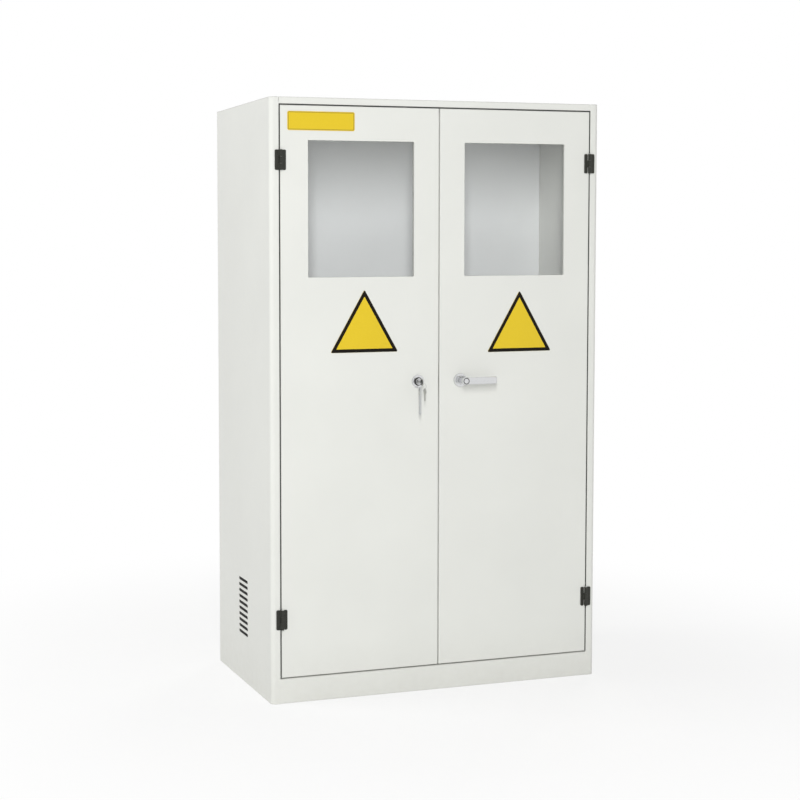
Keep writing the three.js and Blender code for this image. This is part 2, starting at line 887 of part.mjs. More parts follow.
function keyRing() {
  const ring = new THREE.TorusGeometry(ringRadius, ringWire, 6, 28);
  return solidOf(ring.rotateX(Math.PI / 2).translate(lockAxis, bowHoleY, ringCentreZ));
}

// How far above a hole's centre the slanting ring wire carries a flat piece of this thickness.
function hang(holeRadius, thickness) {
  const slant = Math.tan(ringSpread) * thickness / 2 + ringWire / Math.cos(ringSpread);
  return hangerZ + slant + ringPlay - holeRadius;
}

function spareKey() {
  const x = lockAxis + hangerX;
  const hole = hang(keyHoleRadius, keyThickness);
  const bow = hole - spareHoleOffset;
  const tip = bow + spareBowRadius - spareLength;
  const half = spareShankWidth / 2;
  const shank = outline([
    [bowHoleY - half, bow],
    [bowHoleY - half, tip + half],
    [bowHoleY, tip],
    [bowHoleY + half, tip + half],
    [bowHoleY + half, bow],
  ]);
  return flatInX(shank, x, keyThickness)
    .add(disc(bowHoleY, bow, spareBowRadius, x, keyThickness))
    .subtract(disc(bowHoleY, hole, keyHoleRadius, x, keyThickness + overrun));
}

function keyTag() {
  const x = lockAxis - hangerX;
  const hole = hang(tagHoleRadius, tagThickness);
  const top = hole + tagHoleInset;
  const half = tagWidth / 2;
  const strip = rounded(bowHoleY - half, bowHoleY + half, top - tagLength, top, half - tagThickness / 2);
  return flatInX(strip, x, tagThickness)
    .subtract(disc(bowHoleY, hole, tagHoleRadius, x, tagThickness + overrun));
}

// Handle on the right door: the spindle's crank pins drive both rods through slotted eyes.

const crankFront = skinBack + backplateThickness + crankGap;
const crankBack = crankFront + crankThickness;
const rodFront = crankBack + rodLayerGap;
const rodBack = rodFront + rodThickness;
const crankPinOffset = crankThrowRadius * Math.SQRT1_2;
const eyeOffset = (crankThrowRadius + crankPinOffset) / 2;
const rodTopX = handleAxis - eyeOffset - rodJog;
const rodBottomX = handleAxis + eyeOffset;

function rodSlot(x, z) {
  const reach = sheet + keeperThickness + overrun;
  return block(
    [x - rodWidth / 2 - rodSlotClearance, x + rodWidth / 2 + rodSlotClearance],
    [rodFront - rodSlotClearance, rodBack + rodSlotClearance],
    [z - reach, z + reach],
  );
}

function rodKeeper(x, z0) {
  const plate = block(
    [x - keeperWidth / 2, x + keeperWidth / 2],
    [skinBack + foldRadius + sheet, stopFront - foldRadius - sheet],
    [z0, z0 + keeperThickness],
  );
  return plate.subtract(rodSlot(x, z0));
}

function spindleHole(y0, y1) {
  return rod(handleAxis, y0, y1, hardwareHeight, spindleBore, 32);
}

function doorShellRight() {
  return mirroredInX(doorPan())
    .subtract(spindleHole(front - overrun, skinBack + overrun))
    .subtract(rodSlot(rodTopX, doorTop))
    .subtract(rodSlot(rodBottomX, doorBottom))
    .subtract(boltCutter(0, doorInner + overrun));
}

function handleRose() {
  return turnedForward([
    [neckRadius + neckRunningGap, 0],
    [roseRadius, 0],
    [roseRadius, roseThickness - roseRounding],
    [roseRadius - roseRounding * (1 - Math.SQRT1_2), roseThickness - roseRounding * (1 - Math.SQRT1_2)],
    [roseRadius - roseRounding, roseThickness],
    [neckRadius + neckRunningGap, roseThickness],
    [neckRadius + neckRunningGap, 0],
  ], handleAxis, front, hardwareHeight, 40);
}

function handleBackplate() {
  const plate = rounded(
    handleAxis - backplateWidth / 2, handleAxis + backplateWidth / 2,
    hardwareHeight - backplateHeight / 2, hardwareHeight + backplateHeight / 2, backplateRounding,
  );
  return alongY(plate, skinBack, skinBack + backplateThickness)
    .subtract(spindleHole(skinBack - overrun, crankFront + overrun));
}

function squareBar(half, y0, y1) {
  return block(
    [handleAxis - half, handleAxis + half], [y0, y1], [hardwareHeight - half, hardwareHeight + half],
  );
}

const neckEnd = front - cutClearance;
const leverFace = front - roseThickness - leverStandOff - leverThickness;

function leverHandle() {
  const hubBack = leverFace + leverThickness + hubRounding;
  const hub = turnedForward([
    [0, 0],
    [neckRadius, 0],
    [neckRadius, neckEnd - hubBack],
    [hubRadius, neckEnd - hubBack],
    [hubRadius, neckEnd - leverFace - hubRounding],
    [hubRadius - hubRounding * (1 - Math.SQRT1_2), neckEnd - leverFace - hubRounding * (1 - Math.SQRT1_2)],
    [hubRadius - hubRounding, neckEnd - leverFace],
    [0, neckEnd - leverFace],
  ], handleAxis, neckEnd, hardwareHeight, 32);
  const bar = foldedSection([
    [handleAxis, leverFace],
    [handleAxis + leverLength, leverFace],
    [handleAxis + leverLength, leverFace + leverReturn],
  ], leverThickness, { 1: leverBend - leverThickness });
  const low = hardwareHeight - leverHeight / 2;
  const socket = squareBar(spindleSize / 2 + socketClearance, neckEnd - socketDepth, front + overrun);
  return hub.add(alongZ(bar, low, low + leverHeight, { rounding: leverRounding })).subtract(socket);
}

function crankSpindle() {
  const outerPin = crankThrowRadius + crankRim;
  let crank = squareBar(spindleSize / 2, neckEnd - socketDepth + socketClearance, crankBack)
    .add(rod(handleAxis, crankFront, crankBack, hardwareHeight, outerPin, 32));
  for (const side of [-1, 1]) {
    crank = crank.add(rod(
      handleAxis + side * crankPinOffset, crankBack, rodBack,
      hardwareHeight + side * crankPinOffset, crankPinRadius, 16,
    ));
  }
  return crank;
}

// A rod of flat bar along a path of centre points, with the crank pin's slot at its eye.
function doorRod(path, pinX, pinZ) {
  const half = rodWidth / 2;
  const bar = foldedSection(path.map(([x, z]) => [x + half, z]), rodWidth, {});
  const slotHalf = (crankThrowRadius - crankPinOffset) / 2 + crankPinRadius + pinClearance;
  const centre = pinX + Math.sign(pinX - handleAxis) * (crankThrowRadius - crankPinOffset) / 2;
  const reach = crankPinRadius + pinClearance;
  return alongY(bar, rodFront, rodBack).subtract(block(
    [centre - slotHalf, centre + slotHalf],
    [rodFront - overrun, rodBack + overrun],
    [pinZ - reach, pinZ + reach],
  ));
}

function rodUpper() {
  const pinZ = hardwareHeight - crankPinOffset;
  const eyeX = handleAxis - eyeOffset;
  return doorRod([
    [eyeX, pinZ - rodEye],
    [eyeX, pinZ + rodEye + rodStraight],
    [rodTopX, pinZ + rodEye + rodStraight + rodJogHeight],
    [rodTopX, doorTop - rodSetBack],
  ], handleAxis - crankPinOffset, pinZ);
}

function rodLower() {
  const pinZ = hardwareHeight + crankPinOffset;
  return doorRod([
    [rodBottomX, doorBottom + rodSetBack],
    [rodBottomX, pinZ + rodEye],
  ], handleAxis + crankPinOffset, pinZ);
}

function rodGuide(x, z) {
  const half = rodWidth / 2 + guideClearance;
  const over = rodBack + guideClearance;
  const section = foldedSection([
    [x - half - guideSheet - guideFlange, skinBack],
    [x - half - guideSheet, skinBack],
    [x - half - guideSheet, over],
    [x + half + guideSheet, over],
    [x + half + guideSheet, skinBack],
    [x + half + guideSheet + guideFlange, skinBack],
  ], guideSheet);
  return alongZ(section, z - guideHeight / 2, z + guideHeight / 2);
}

// The assembly

const cabinet = new THREE.Group();

function place(group, name, solid, material) {
  const mesh = new THREE.Mesh(geometryOf(solid), material);
  mesh.name = name;
  group.add(mesh);
}

function buildCarcass() {
  const group = new THREE.Group();
  const panel = sidePanel();
  place(group, 'side_panel_left', panel, painted(warmWhite));
  place(group, 'side_panel_right', mirroredInX(panel), painted(warmWhite));
  place(group, 'back_panel', backPanel(), painted(warmWhite));
  place(group, 'roof_panel', roofPanel(), painted(warmWhite));
  place(group, 'header_rail', headerRail(), painted(warmWhite));
  place(group, 'sill_rail', sillRail(), painted(warmWhite));
  place(group, 'floor_pan', floorPan(), painted(insideGrey));
  const channelY = cabinetDepth / 2 - channelInset;
  place(group, 'base_channel_front', baseChannel(-channelY), zinc());
  place(group, 'base_channel_middle', baseChannel(0), zinc());
  place(group, 'base_channel_rear', baseChannel(channelY), zinc());
  place(group, 'inner_back_panel', innerBackPanel(), painted(insideGrey));
  place(group, 'exhaust_collar', exhaustCollar(), zinc());
  place(group, 'bracket_rail', bracketRail(), zinc());
  for (let i = 0; i < cylinderCount; i += 1) {
    const x = (i - (cylinderCount - 1) / 2) * cylinderPitch;
    place(group, `cylinder_bracket_${i + 1}`, cylinderBracket(x), painted(insideGrey));
  }
  place(group, 'frame_seal', frameSeal(), rubber());
  place(group, 'rod_keeper_top', rodKeeper(rodTopX, openingTop + sheet), zinc());
  place(group, 'rod_keeper_bottom', rodKeeper(rodBottomX, sillFace - sheet - keeperThickness), zinc());
  return group;
}

function buildHinges() {
  const group = new THREE.Group();
  const sides = [['left', (solid) => solid], ['right', mirroredInX]];
  const heights = [['top', hingeTopCentre], ['bottom', hingeBottomCentre]];
  for (const [side, turned] of sides) {
    for (const [end, centre] of heights) {
      place(group, `hinge_frame_leaf_${side}_${end}`, turned(frameLeaf(centre)), painted(hingeBlack));
      place(group, `hinge_door_leaf_${side}_${end}`, turned(doorLeaf(centre)), painted(hingeBlack));
      place(group, `hinge_pin_${side}_${end}`, turned(hingePin(centre)), zinc());
    }
  }
  return group;
}

function buildLeftDoor() {
  const group = new THREE.Group();
  place(group, 'door_shell_left', doorShellLeft(), painted(warmWhite));
  place(group, 'door_stiffener_left', doorStiffener(), painted(warmWhite));
  place(group, 'window_pane_left', windowPane(), glass());
  place(group, 'window_retainer_left', windowRetainer(), painted(warmWhite));
  place(group, 'meeting_seal_upper', meetingSeal(
    hardwareHeight + meetingSealLockGap, doorTop - meetingSealEndGap,
  ), rubber());
  place(group, 'meeting_seal_lower', meetingSeal(
    doorBottom + meetingSealEndGap, hardwareHeight - meetingSealLockGap,
  ), rubber());
  place(group, 'lock_case', lockCase(), zinc());
  place(group, 'lock_rose', lockRose(), chrome());
  place(group, 'lock_cylinder', lockCylinder(), chrome());
  place(group, 'lock_plug', lockPlug(), chrome());
  place(group, 'lock_bolt', lockBolt(), zinc());
  place(group, 'door_key', doorKey(), zinc());
  place(group, 'key_ring', keyRing(), chrome());
  place(group, 'spare_key', spareKey(), zinc());
  place(group, 'key_tag', keyTag(), moulded());
  return group;
}

function buildRightDoor() {
  const group = new THREE.Group();
  place(group, 'door_shell_right', doorShellRight(), painted(warmWhite));
  place(group, 'door_stiffener_right', mirroredInX(doorStiffener()), painted(warmWhite));
  place(group, 'window_pane_right', mirroredInX(windowPane()), glass());
  place(group, 'window_retainer_right', mirroredInX(windowRetainer()), painted(warmWhite));
  place(group, 'handle_rose', handleRose(), chrome());
  place(group, 'handle_backplate', handleBackplate(), zinc());
  place(group, 'lever_handle', leverHandle(), chrome());
  place(group, 'crank_spindle', crankSpindle(), zinc());
  place(group, 'rod_upper', rodUpper(), zinc());
  place(group, 'rod_lower', rodLower(), zinc());
  place(group, 'rod_guide_upper', rodGuide(rodTopX, doorTop - guideEndDistance), zinc());
  place(group, 'rod_guide_lower', rodGuide(rodBottomX, doorBottom + guideEndDistance), zinc());
  return group;
}

cabinet.add(buildCarcass(), buildHinges(), buildLeftDoor(), buildRightDoor());

export default cabinet;
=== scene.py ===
"""Gas cylinder cabinet: finishes, sign plates, hardware, fixings, floor, lights and camera.

Lengths in the code are metres in the cabinet's own frame. MM turns millimetres into metres.
"""

import json
import math
from functools import partial

import bmesh
import bpy
from bpy.props import FloatProperty, FloatVectorProperty, IntProperty, PointerProperty
from mathutils import Matrix, Vector


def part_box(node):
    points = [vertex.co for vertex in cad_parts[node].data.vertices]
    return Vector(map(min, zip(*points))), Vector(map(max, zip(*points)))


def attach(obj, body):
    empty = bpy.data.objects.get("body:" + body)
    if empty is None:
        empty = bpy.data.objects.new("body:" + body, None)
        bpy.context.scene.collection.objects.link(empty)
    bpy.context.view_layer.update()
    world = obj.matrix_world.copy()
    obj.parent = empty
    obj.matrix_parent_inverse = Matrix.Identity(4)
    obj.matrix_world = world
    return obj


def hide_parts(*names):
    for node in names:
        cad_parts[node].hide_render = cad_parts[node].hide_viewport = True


bl_info = {
    "name": "Gas Cylinder Cabinet",
    "version": (1, 0, 0),
    "blender": (4, 5, 0),
    "location": "View3D > Sidebar > Cabinet",
    "description": "Finishes, signs, hardware and fixings for a sheet steel gas cylinder cabinet",
    "category": "Object",
}

MM = 0.001

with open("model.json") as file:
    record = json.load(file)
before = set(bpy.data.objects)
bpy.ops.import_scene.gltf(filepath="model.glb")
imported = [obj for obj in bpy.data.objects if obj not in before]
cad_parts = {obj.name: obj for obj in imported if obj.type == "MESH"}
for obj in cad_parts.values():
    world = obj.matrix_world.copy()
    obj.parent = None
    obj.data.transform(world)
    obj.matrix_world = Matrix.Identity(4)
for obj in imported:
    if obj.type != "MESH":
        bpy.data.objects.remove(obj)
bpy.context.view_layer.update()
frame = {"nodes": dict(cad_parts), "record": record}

TO_FRONT = (0, -1, 0)
TO_BACK = (0, 1, 0)
UPWARD = (0, 0, 1)


def linear(hex_colour):
    """Turns an sRGB hex colour into linear red, green and blue."""
    channels = []
    for start in (1, 3, 5):
        value = int(hex_colour[start:start + 2], 16) / 255
        channels.append(value / 12.92 if value <= 0.04045 else ((value + 0.055) / 1.055) ** 2.4)
    return tuple(channels)


# Sizes and colours that a user would change


def colour_setting(name, description, hex_colour):
    """A colour of the panel."""
    return FloatVectorProperty(
        name=name, description=description, subtype="COLOR", size=3, min=0, max=1,
        default=linear(hex_colour),
    )


def length_setting(name, description, lowest, default):
    """A length of the panel."""
    return FloatProperty(
        name=name, description=description, subtype="DISTANCE", unit="LENGTH", min=lowest,
        default=default,
    )


def power_setting(name, description, default):
    """A lamp's power on the panel."""
    return FloatProperty(
        name=name, description=description, subtype="POWER", min=0, default=default,
    )


class CabinetFinish(bpy.types.PropertyGroup):
    """Colours and sheen of the cabinet's finishes."""

    enamel: colour_setting("Powder coat", "Colour of the outer powder coat", "#dfe0db")
    enamel_roughness: FloatProperty(
        name="Powder coat roughness", description="How matt the outer powder coat is", min=0, max=1,
        default=0.42,
    )
    # Paler than the interior's own coat: painted light for the light that reaches inside through
    # the windows.
    interior: colour_setting("Interior coat", "Colour of the powder coat inside", "#f0f2f2")
    charcoal: colour_setting("Hinge coat", "Colour of the powder coat on the hinges", "#22231e")
    rubber: colour_setting("Seals", "Colour of the rubber seals", "#2a2b29")
    meeting_rubber: colour_setting(
        "Meeting seals", "Colour of the seals between the doors", "#b4b6b1",
    )
    peel_pitch: length_setting(
        "Orange peel", "Distance between the ripples of the powder coat", 0.5 * MM, 9 * MM,
    )


class CabinetSigns(bpy.types.PropertyGroup):
    """Sizes and colours of the bare sign plates on the doors."""

    side: length_setting("Triangle side", "Side of each triangular plate", 50 * MM, 241 * MM)
    border: length_setting("Border", "Width of the triangle's dark border", 1 * MM, 11.6 * MM)
    left_place: FloatVectorProperty(
        name="Left triangle",
        description="Middle and height of the left triangle's lower edge",
        subtype="XYZ", unit="LENGTH", size=2, default=(-270.9 * MM, 1162.5 * MM),
    )
    right_place: FloatVectorProperty(
        name="Right triangle",
        description="Middle and height of the right triangle's lower edge",
        subtype="XYZ", unit="LENGTH", size=2, default=(300 * MM, 1152.5 * MM),
    )
    plate_width: length_setting(
        "Plate width", "Width of the rectangular plate", 20 * MM, 234.5 * MM,
    )
    plate_height: length_setting(
        "Plate height", "Height of the rectangular plate", 10 * MM, 62 * MM,
    )
    thickness: length_setting("Thickness", "Thickness of the sign plates", 0.2 * MM, 1.2 * MM)
    yellow: colour_setting("Yellow", "Colour of the plates", "#ddbf1c")
    border_black: colour_setting("Border colour", "Colour of the triangles' border", "#1a1712")
    rim_olive: colour_setting("Rim colour", "Colour of the rectangular plate's rim line", "#a88f24")


class CabinetHardware(bpy.types.PropertyGroup):
    """Shapes of the handle, lock and keys."""

    segments: IntProperty(
        name="Segments", description="Steps round each turned piece", min=24, default=96,
    )
    lever_edge: length_setting(
        "Lever rounding", "Radius along the edges of the lever", 0.5 * MM, 3.4 * MM,
    )
    ring_wire: length_setting(
        "Ring wire", "Radius of the wire of the split ring", 0.2 * MM, 0.5 * MM,
    )
    rivet_radius: length_setting("Rivet", "Radius of a rivet's dome", 1 * MM, 4 * MM)


class CabinetStage(bpy.types.PropertyGroup):
    """Floor, lights and world."""

    key_power: power_setting("Key lamp", "Power of the tall lamp in front of the doors", 262)
    side_power: power_setting("Side lamp", "Power of the lamp at the left side", 108)
    fill_power: power_setting("Fill lamp", "Power of the lamp behind the right side", 110)
    ambient: FloatProperty(
        name="Ambient", description="Strength of the world as a lamp", min=0, default=0.41,
    )


# Helpers for nodes and meshes

# Each finish, by the name of the thing that wears it, made by the first operator
FINISHES = {}


def add_node(tree, kind, inputs=None, **settings):
    """Adds a node, sets its fields, and fills or links its inputs by name or number. A node given
    as an input stands for its first output."""
    node = tree.nodes.new(kind)
    for field, value in settings.items():
        setattr(node, field, value)
    for key, value in (inputs or {}).items():
        if isinstance(value, bpy.types.Node):
            value = value.outputs[0]
        if isinstance(value, bpy.types.NodeSocket):
            tree.links.new(value, node.inputs[key])
        else:
            node.inputs[key].default_value = value
    return node


def new_material(name):
    """An empty node material, the function that adds nodes to it, and coordinates in metres on the
    piece itself."""
    material = bpy.data.materials.new(name)
    material.use_nodes = True
    material.node_tree.nodes.clear()
    add = partial(add_node, material.node_tree)
    return material, add, add("ShaderNodeTexCoord").outputs["Object"]


def new_mottled(name, size, detail, dark, pale):
    """A new material whose colour drifts between two tones, in patches of a given size. Returns
    the material, its node adder, the coordinates, the pattern and the colour."""
    material, add, coords = new_material(name)
    pattern = add("ShaderNodeTexNoise", {"Vector": coords, "Scale": 1 / size, "Detail": detail})
    tone = add("ShaderNodeMix", {
        0: pattern, 6: (*dark, 1), 7: (*pale, 1),
    }, data_type="RGBA").outputs[2]
    return material, add, coords, pattern, tone


def show(material, kind, inputs):
    """Puts a shader on the material's surface, and returns the material."""
    add = partial(add_node, material.node_tree)
    add("ShaderNodeOutputMaterial", {"Surface": add(kind, inputs)})
    return material


def seen_rays(add):
    """1 on the rays that make a thing visible: to the camera, off metal and through glass."""
    path = add("ShaderNodeLightPath")
    looked_at = add("ShaderNodeMath", {
        0: path.outputs["Is Camera Ray"], 1: path.outputs["Is Glossy Ray"],
    }, operation="MAXIMUM")
    return add("ShaderNodeMath", {
        0: looked_at, 1: path.outputs["Is Transmission Ray"],
    }, operation="MAXIMUM")


def ends_and_middle(node):
    """Low corner, high corner and middle of a CAD node's box."""
    low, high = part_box(node)
    return low, high, (low + high) / 2


def spread(low, high, count):
    """Evenly spaced values, from low to high."""
    return [low + (high - low) * step / (count - 1) for step in range(count)]


def new_piece(name, bm, finish, body, sharp=35):
    """Makes an object of a bmesh, shades it, and lets it ride on a body."""
    mesh = bpy.data.meshes.new(name)
    bm.to_mesh(mesh)
    bm.free()
    piece = bpy.data.objects.new(name, mesh)
    bpy.context.scene.collection.objects.link(piece)
    mesh.materials.append(FINISHES[finish])
    shade(mesh, sharp)
    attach(piece, body)
    return piece


def shade(mesh, sharp):
    """Smooth shading, with edges kept sharp above an angle in degrees."""
    mesh.shade_smooth()
    mesh.set_sharp_from_angle(angle=math.radians(sharp))


def bake(piece, modifiers, sharp=35):
    """Applies modifiers, given as a list of (kind, settings), to a piece's mesh."""
    for kind, settings in modifiers:
        modifier = piece.modifiers.new(kind.title(), kind)
        for field, value in settings.items():
            setattr(modifier, field, value)
    evaluated = piece.evaluated_get(bpy.context.evaluated_depsgraph_get())
    mesh = bpy.data.meshes.new_from_object(evaluated)
    piece.modifiers.clear()
    piece.data = mesh
    shade(mesh, sharp)
    return piece


def add_turned(bm, profile, origin, axis, segments):
    """Turns a profile of (radius, distance along the axis) round an axis. Radius 0 closes it."""
    along = Vector(axis).normalized()
    across = along.orthogonal().normalized()
    other = along.cross(across)
    rings = []
    for radius, distance in profile:
        centre = Vector(origin) + along * distance
        if radius == 0:
            rings.append([bm.verts.new(centre)])
            continue
        ring = []
        for step in range(segments):
            angle = 2 * math.pi * step / segments
            outward = across * math.cos(angle) + other * math.sin(angle)
            ring.append(bm.verts.new(centre + outward * radius))
        rings.append(ring)
    for first, second in zip(rings, rings[1:]):
        for step in range(segments):
            after = (step + 1) % segments
            corners = [first[step % len(first)], first[after % len(first)],
                       second[after % len(second)], second[step % len(second)]]
            unique = list(dict.fromkeys(corners))
            if len(unique) > 2:
                bm.faces.new(unique)


def new_turned(name, profile, origin, axis, finish, body, segments):
    """A piece turned from a closed profile."""
    bm = bmesh.new()
    add_turned(bm, profile, origin, axis, segments)
    bmesh.ops.remove_doubles(bm, verts=bm.verts[:], dist=1e-6)
    bmesh.ops.recalc_face_normals(bm, faces=bm.faces[:])
    return new_piece(name, bm, finish, body)


def skin_rings(bm, rings):
    """Joins closed rings of points, one after the other, and closes both ends."""
    for first, second in zip(rings, rings[1:]):
        for step in range(len(first)):
            after = (step + 1) % len(first)
            bm.faces.new((first[step], first[after], second[after], second[step]))
    bm.faces.new(rings[0][::-1])
    bm.faces.new(rings[-1])
    bmesh.ops.recalc_face_normals(bm, faces=bm.faces[:])


def arc(centre, radius, start, end, steps):
    """Points on an arc, from start to end in degrees."""
    points = []
    for degrees in spread(start, end, steps + 1):
        angle = math.radians(degrees)
        points.append((centre[0] + radius * math.cos(angle), centre[1] + radius * math.sin(angle)))
    return points


def new_ring(name, node, bore, edge, steps, lip, body, segments):
    """A chromed ring in the place of a CAD node, with a rounded outer edge. The lip is the part of
    the profile that runs from the bore out to the face."""
    low, high, centre = ends_and_middle(node)
    radius = (high.x - low.x) / 2
    depth = high.y - low.y
    rounding = arc((radius - edge, edge), edge, -90, 0, steps)
    profile = [(bore, depth), *lip, *rounding, (radius, depth), (bore, depth)]
    place = (centre.x, low.y, centre.z)
    return new_turned(name, profile, place, TO_BACK, "chrome", body, segments)


def rectangle(half_width, low, high):
    """Corners of an upright rectangle, listed counter-clockwise."""
    return [(-half_width, low), (half_width, low), (half_width, high), (-half_width, high)]


def rounded_outline(corners, radius, steps=6):
    """A closed outline, listed counter-clockwise, with each corner rounded."""
    points = []
    count = len(corners)
    for number, corner in enumerate(corners):
        here = Vector(corner)
        before = (Vector(corners[number - 1]) - here).normalized()
        after = (Vector(corners[(number + 1) % count]) - here).normalized()
        half = before.angle(after) / 2
        centre = here + (before + after).normalized() * radius / math.sin(half)
        start = here + before * radius / math.tan(half) - centre
        end = here + after * radius / math.tan(half) - centre
        first = math.degrees(math.atan2(start.y, start.x))
        turn = math.degrees(math.atan2(end.y, end.x)) - first
        turn = (turn + 180) % 360 - 180
        points += arc(tuple(centre), radius, first, first + turn, steps)
    return points


def cut_plate(name, outlines, thickness, rounding, place, finish, body):
    """A plate cut to an outline, the others being its holes, with softened edges.

    The outlines lie in the plate's middle plane, which place turns and moves."""
    bm = bmesh.new()
    for outline in outlines:
        ring = [bm.verts.new((x, y, 0)) for x, y in outline]
        for first, second in zip(ring, ring[1:] + ring[:1]):
            bm.edges.new((first, second))
    bmesh.ops.triangle_fill(bm, use_beauty=True, edges=bm.edges[:])
    bmesh.ops.recalc_face_normals(bm, faces=bm.faces[:])
    bm.transform(place)
    piece = new_piece(name, bm, finish, body)
    return bake(piece, [
        ("SOLIDIFY", {"thickness": thickness, "offset": 0}),
        ("BEVEL", {"width": rounding, "segments": 3, "limit_method": "ANGLE",
                   "angle_limit": math.radians(50)}),
    ])


def facing_front(x, y, z):
    """Matrix that stands an outline upright, facing the front, its X to the right and Y up."""
    return Matrix.Translation((x, y, z)) @ Matrix.Rotation(math.pi / 2, 4, "X")


def facing_side(x, y, z):
    """Matrix that stands an outline upright in the Y-Z plane, its X to the back and Y up."""
    turn = Matrix(((0, 0, 1, 0), (1, 0, 0, 0), (0, 1, 0, 0), (0, 0, 0, 1)))
    return Matrix.Translation((x, y, z)) @ turn


def add_washer(name, place, inner, outer, depth, body):
    """A black rubber washer that faces the front, seated in a turned groove."""
    edge = 0.3 * MM
    profile = [(inner, depth), (inner, edge), (inner + edge, 0), (outer - edge, 0), (outer, edge),
               (outer, depth), (inner, depth)]
    new_turned(name, profile, place, TO_BACK, "rubber", body, segments=64)


# Materials

# The posts' inner edge, the gap round the doors, and the doorway's lowest and highest edge
SEAM_EDGE = abs(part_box("sill_rail")[0].x)
DOORWAY_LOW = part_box("sill_rail")[1].z
DOOR_GAP = SEAM_EDGE - abs(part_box("door_shell_left")[0].x)
DOORWAY_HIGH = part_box("door_shell_left")[1].z + DOOR_GAP
WELD_WIDTH = 3 * MM


def ground_seams(add, coords):
    """1 where the rails are welded to the posts and ground flush, so that no edge shows there."""
    split = add("ShaderNodeSeparateXYZ", {"Vector": coords})
    side = add("ShaderNodeMath", {0: split.outputs["X"]}, operation="ABSOLUTE")
    near = add("ShaderNodeMath", {
        0: side, 1: SEAM_EDGE + WELD_WIDTH / 4, 2: WELD_WIDTH,
    }, operation="COMPARE")
    lifted = add("ShaderNodeMath", {
        0: split.outputs["Z"], 1: (DOORWAY_LOW + DOORWAY_HIGH) / 2,
    }, operation="SUBTRACT")
    apart = add("ShaderNodeMath", {0: lifted}, operation="ABSOLUTE")
    beyond = add("ShaderNodeMath", {
        0: apart, 1: (DOORWAY_HIGH - DOORWAY_LOW) / 2 - 0.5 * MM,
    }, operation="GREATER_THAN")
    return add("ShaderNodeMath", {0: near, 1: beyond}, operation="MULTIPLY")


def edge_share(add, eased, plain, start, end, most):
    """How far a surface turns away from its eased edge, as a share up to the most."""
    agreement = add("ShaderNodeVectorMath", {0: eased, 1: plain}, operation="DOT_PRODUCT")
    return add("ShaderNodeMapRange", {
        "Value": agreement.outputs["Value"], "From Min": start, "From Max": end, "To Max": most,
    })


def powder_coated_steel(name, colour, roughness, peel, dust_and_shade=0.25, edge_wear_and_shade=0.35):
    """Polyester powder coat baked on zinc-primed sheet steel. It levels to a smooth low sheen with
    a faint orange peel. A darker line along its folds, edges and creases is a thinner coat and
    painted shade, and its darkening near the floor is dust and painted shade."""
    material, add, coords = new_material(name)
    height = add("ShaderNodeSeparateXYZ", {"Vector": coords}).outputs["Z"]
    # Batches of powder settle in clouds about 300 mm across.
    clouds = add("ShaderNodeTexNoise", {"Vector": coords, "Scale": 1 / (300 * MM), "Detail": 3.0})
    tone = add("ShaderNodeMapRange", {
        "Value": clouds, "From Min": 0.3, "From Max": 0.7, "To Min": 0.965,
    })
    shaded = add("ShaderNodeVectorMath", {0: colour, "Scale": tone}, operation="SCALE")
    # Dust and painted shade darken the coat near the floor, fading out by 200 mm up, broken up at
    # 25 mm.
    smears = add("ShaderNodeTexNoise", {"Vector": coords, "Scale": 1 / (25 * MM), "Detail": 4.0})
    near_floor = add("ShaderNodeMapRange", {
        "Value": height, "From Max": 200 * MM, "To Min": dust_and_shade, "To Max": 0.0,
    })
    dust_and_shade_share = add("ShaderNodeMath", {0: near_floor, 1: smears}, operation="MULTIPLY")
    dust_and_shade_tone = add("ShaderNodeMix", {
        0: dust_and_shade_share, 6: shaded, 7: (*linear("#b9b6ab"), 1),
    }, data_type="RGBA")
    # The coat thins over folds and cut edges, and shade is painted into them and into creases, seen
    # as a darker line about 2 mm wide.
    rounded = add("ShaderNodeBevel", {"Radius": 1.6 * MM}, samples=4)
    plain = add("ShaderNodeNewGeometry").outputs["Normal"]
    eased = add("ShaderNodeMix", {
        0: ground_seams(add, coords), 4: rounded, 5: plain,
    }, data_type="VECTOR").outputs[1]
    worn_and_shaded = add("ShaderNodeMix", {
        0: edge_share(add, eased, plain, 0.99, 0.8, edge_wear_and_shade), 6: dust_and_shade_tone.outputs[2],
        7: (*linear("#a9aaa4"), 1),
    }, data_type="RGBA")
    sheen = add("ShaderNodeMapRange", {
        "Value": smears, "From Min": 0.3, "From Max": 0.7, "To Min": roughness - 0.03,
        "To Max": roughness + 0.03,
    })
    # Real orange peel repeats at 2 to 3 mm. It is drawn coarser, at the peel size, so it shows.
    ripples = add("ShaderNodeTexNoise", {"Vector": coords, "Scale": 1 / peel, "Detail": 1.0})
    skin = add("ShaderNodeBump", {
        "Height": ripples, "Normal": eased, "Strength": 0.05, "Distance": 1 * MM,
    })
    return show(material, "ShaderNodeBsdfPrincipled", {
        "Base Color": worn_and_shaded.outputs[2], "Roughness": sheen, "Normal": skin, "IOR": 1.5,
    })


def powder_coated_casting(name, colour):
    """Fine-textured powder coat on die-cast zinc: a matt charcoal grain, paler on its edges."""
    # The grain is about 0.6 mm. It is drawn at 2 mm so that it shows.
    material, add, _, grain, tinted = new_mottled(name, 2 * MM, 3.0, colour, linear("#33342e"))
    eased = add("ShaderNodeBevel", {"Radius": 1.2 * MM}, samples=6)
    plain = add("ShaderNodeNewGeometry").outputs["Normal"]
    edged = add("ShaderNodeMix", {
        0: edge_share(add, eased, plain, 0.98, 0.7, 0.5), 6: tinted, 7: (*linear("#55564f"), 1),
    }, data_type="RGBA")
    skin = add("ShaderNodeBump", {
        "Height": grain, "Normal": eased, "Strength": 0.35, "Distance": 0.3 * MM,
    })
    return show(material, "ShaderNodeBsdfPrincipled", {
        "Base Color": edged.outputs[2], "Roughness": 0.55, "Normal": skin, "IOR": 1.5,
        "Specular IOR Level": 0.35,
    })


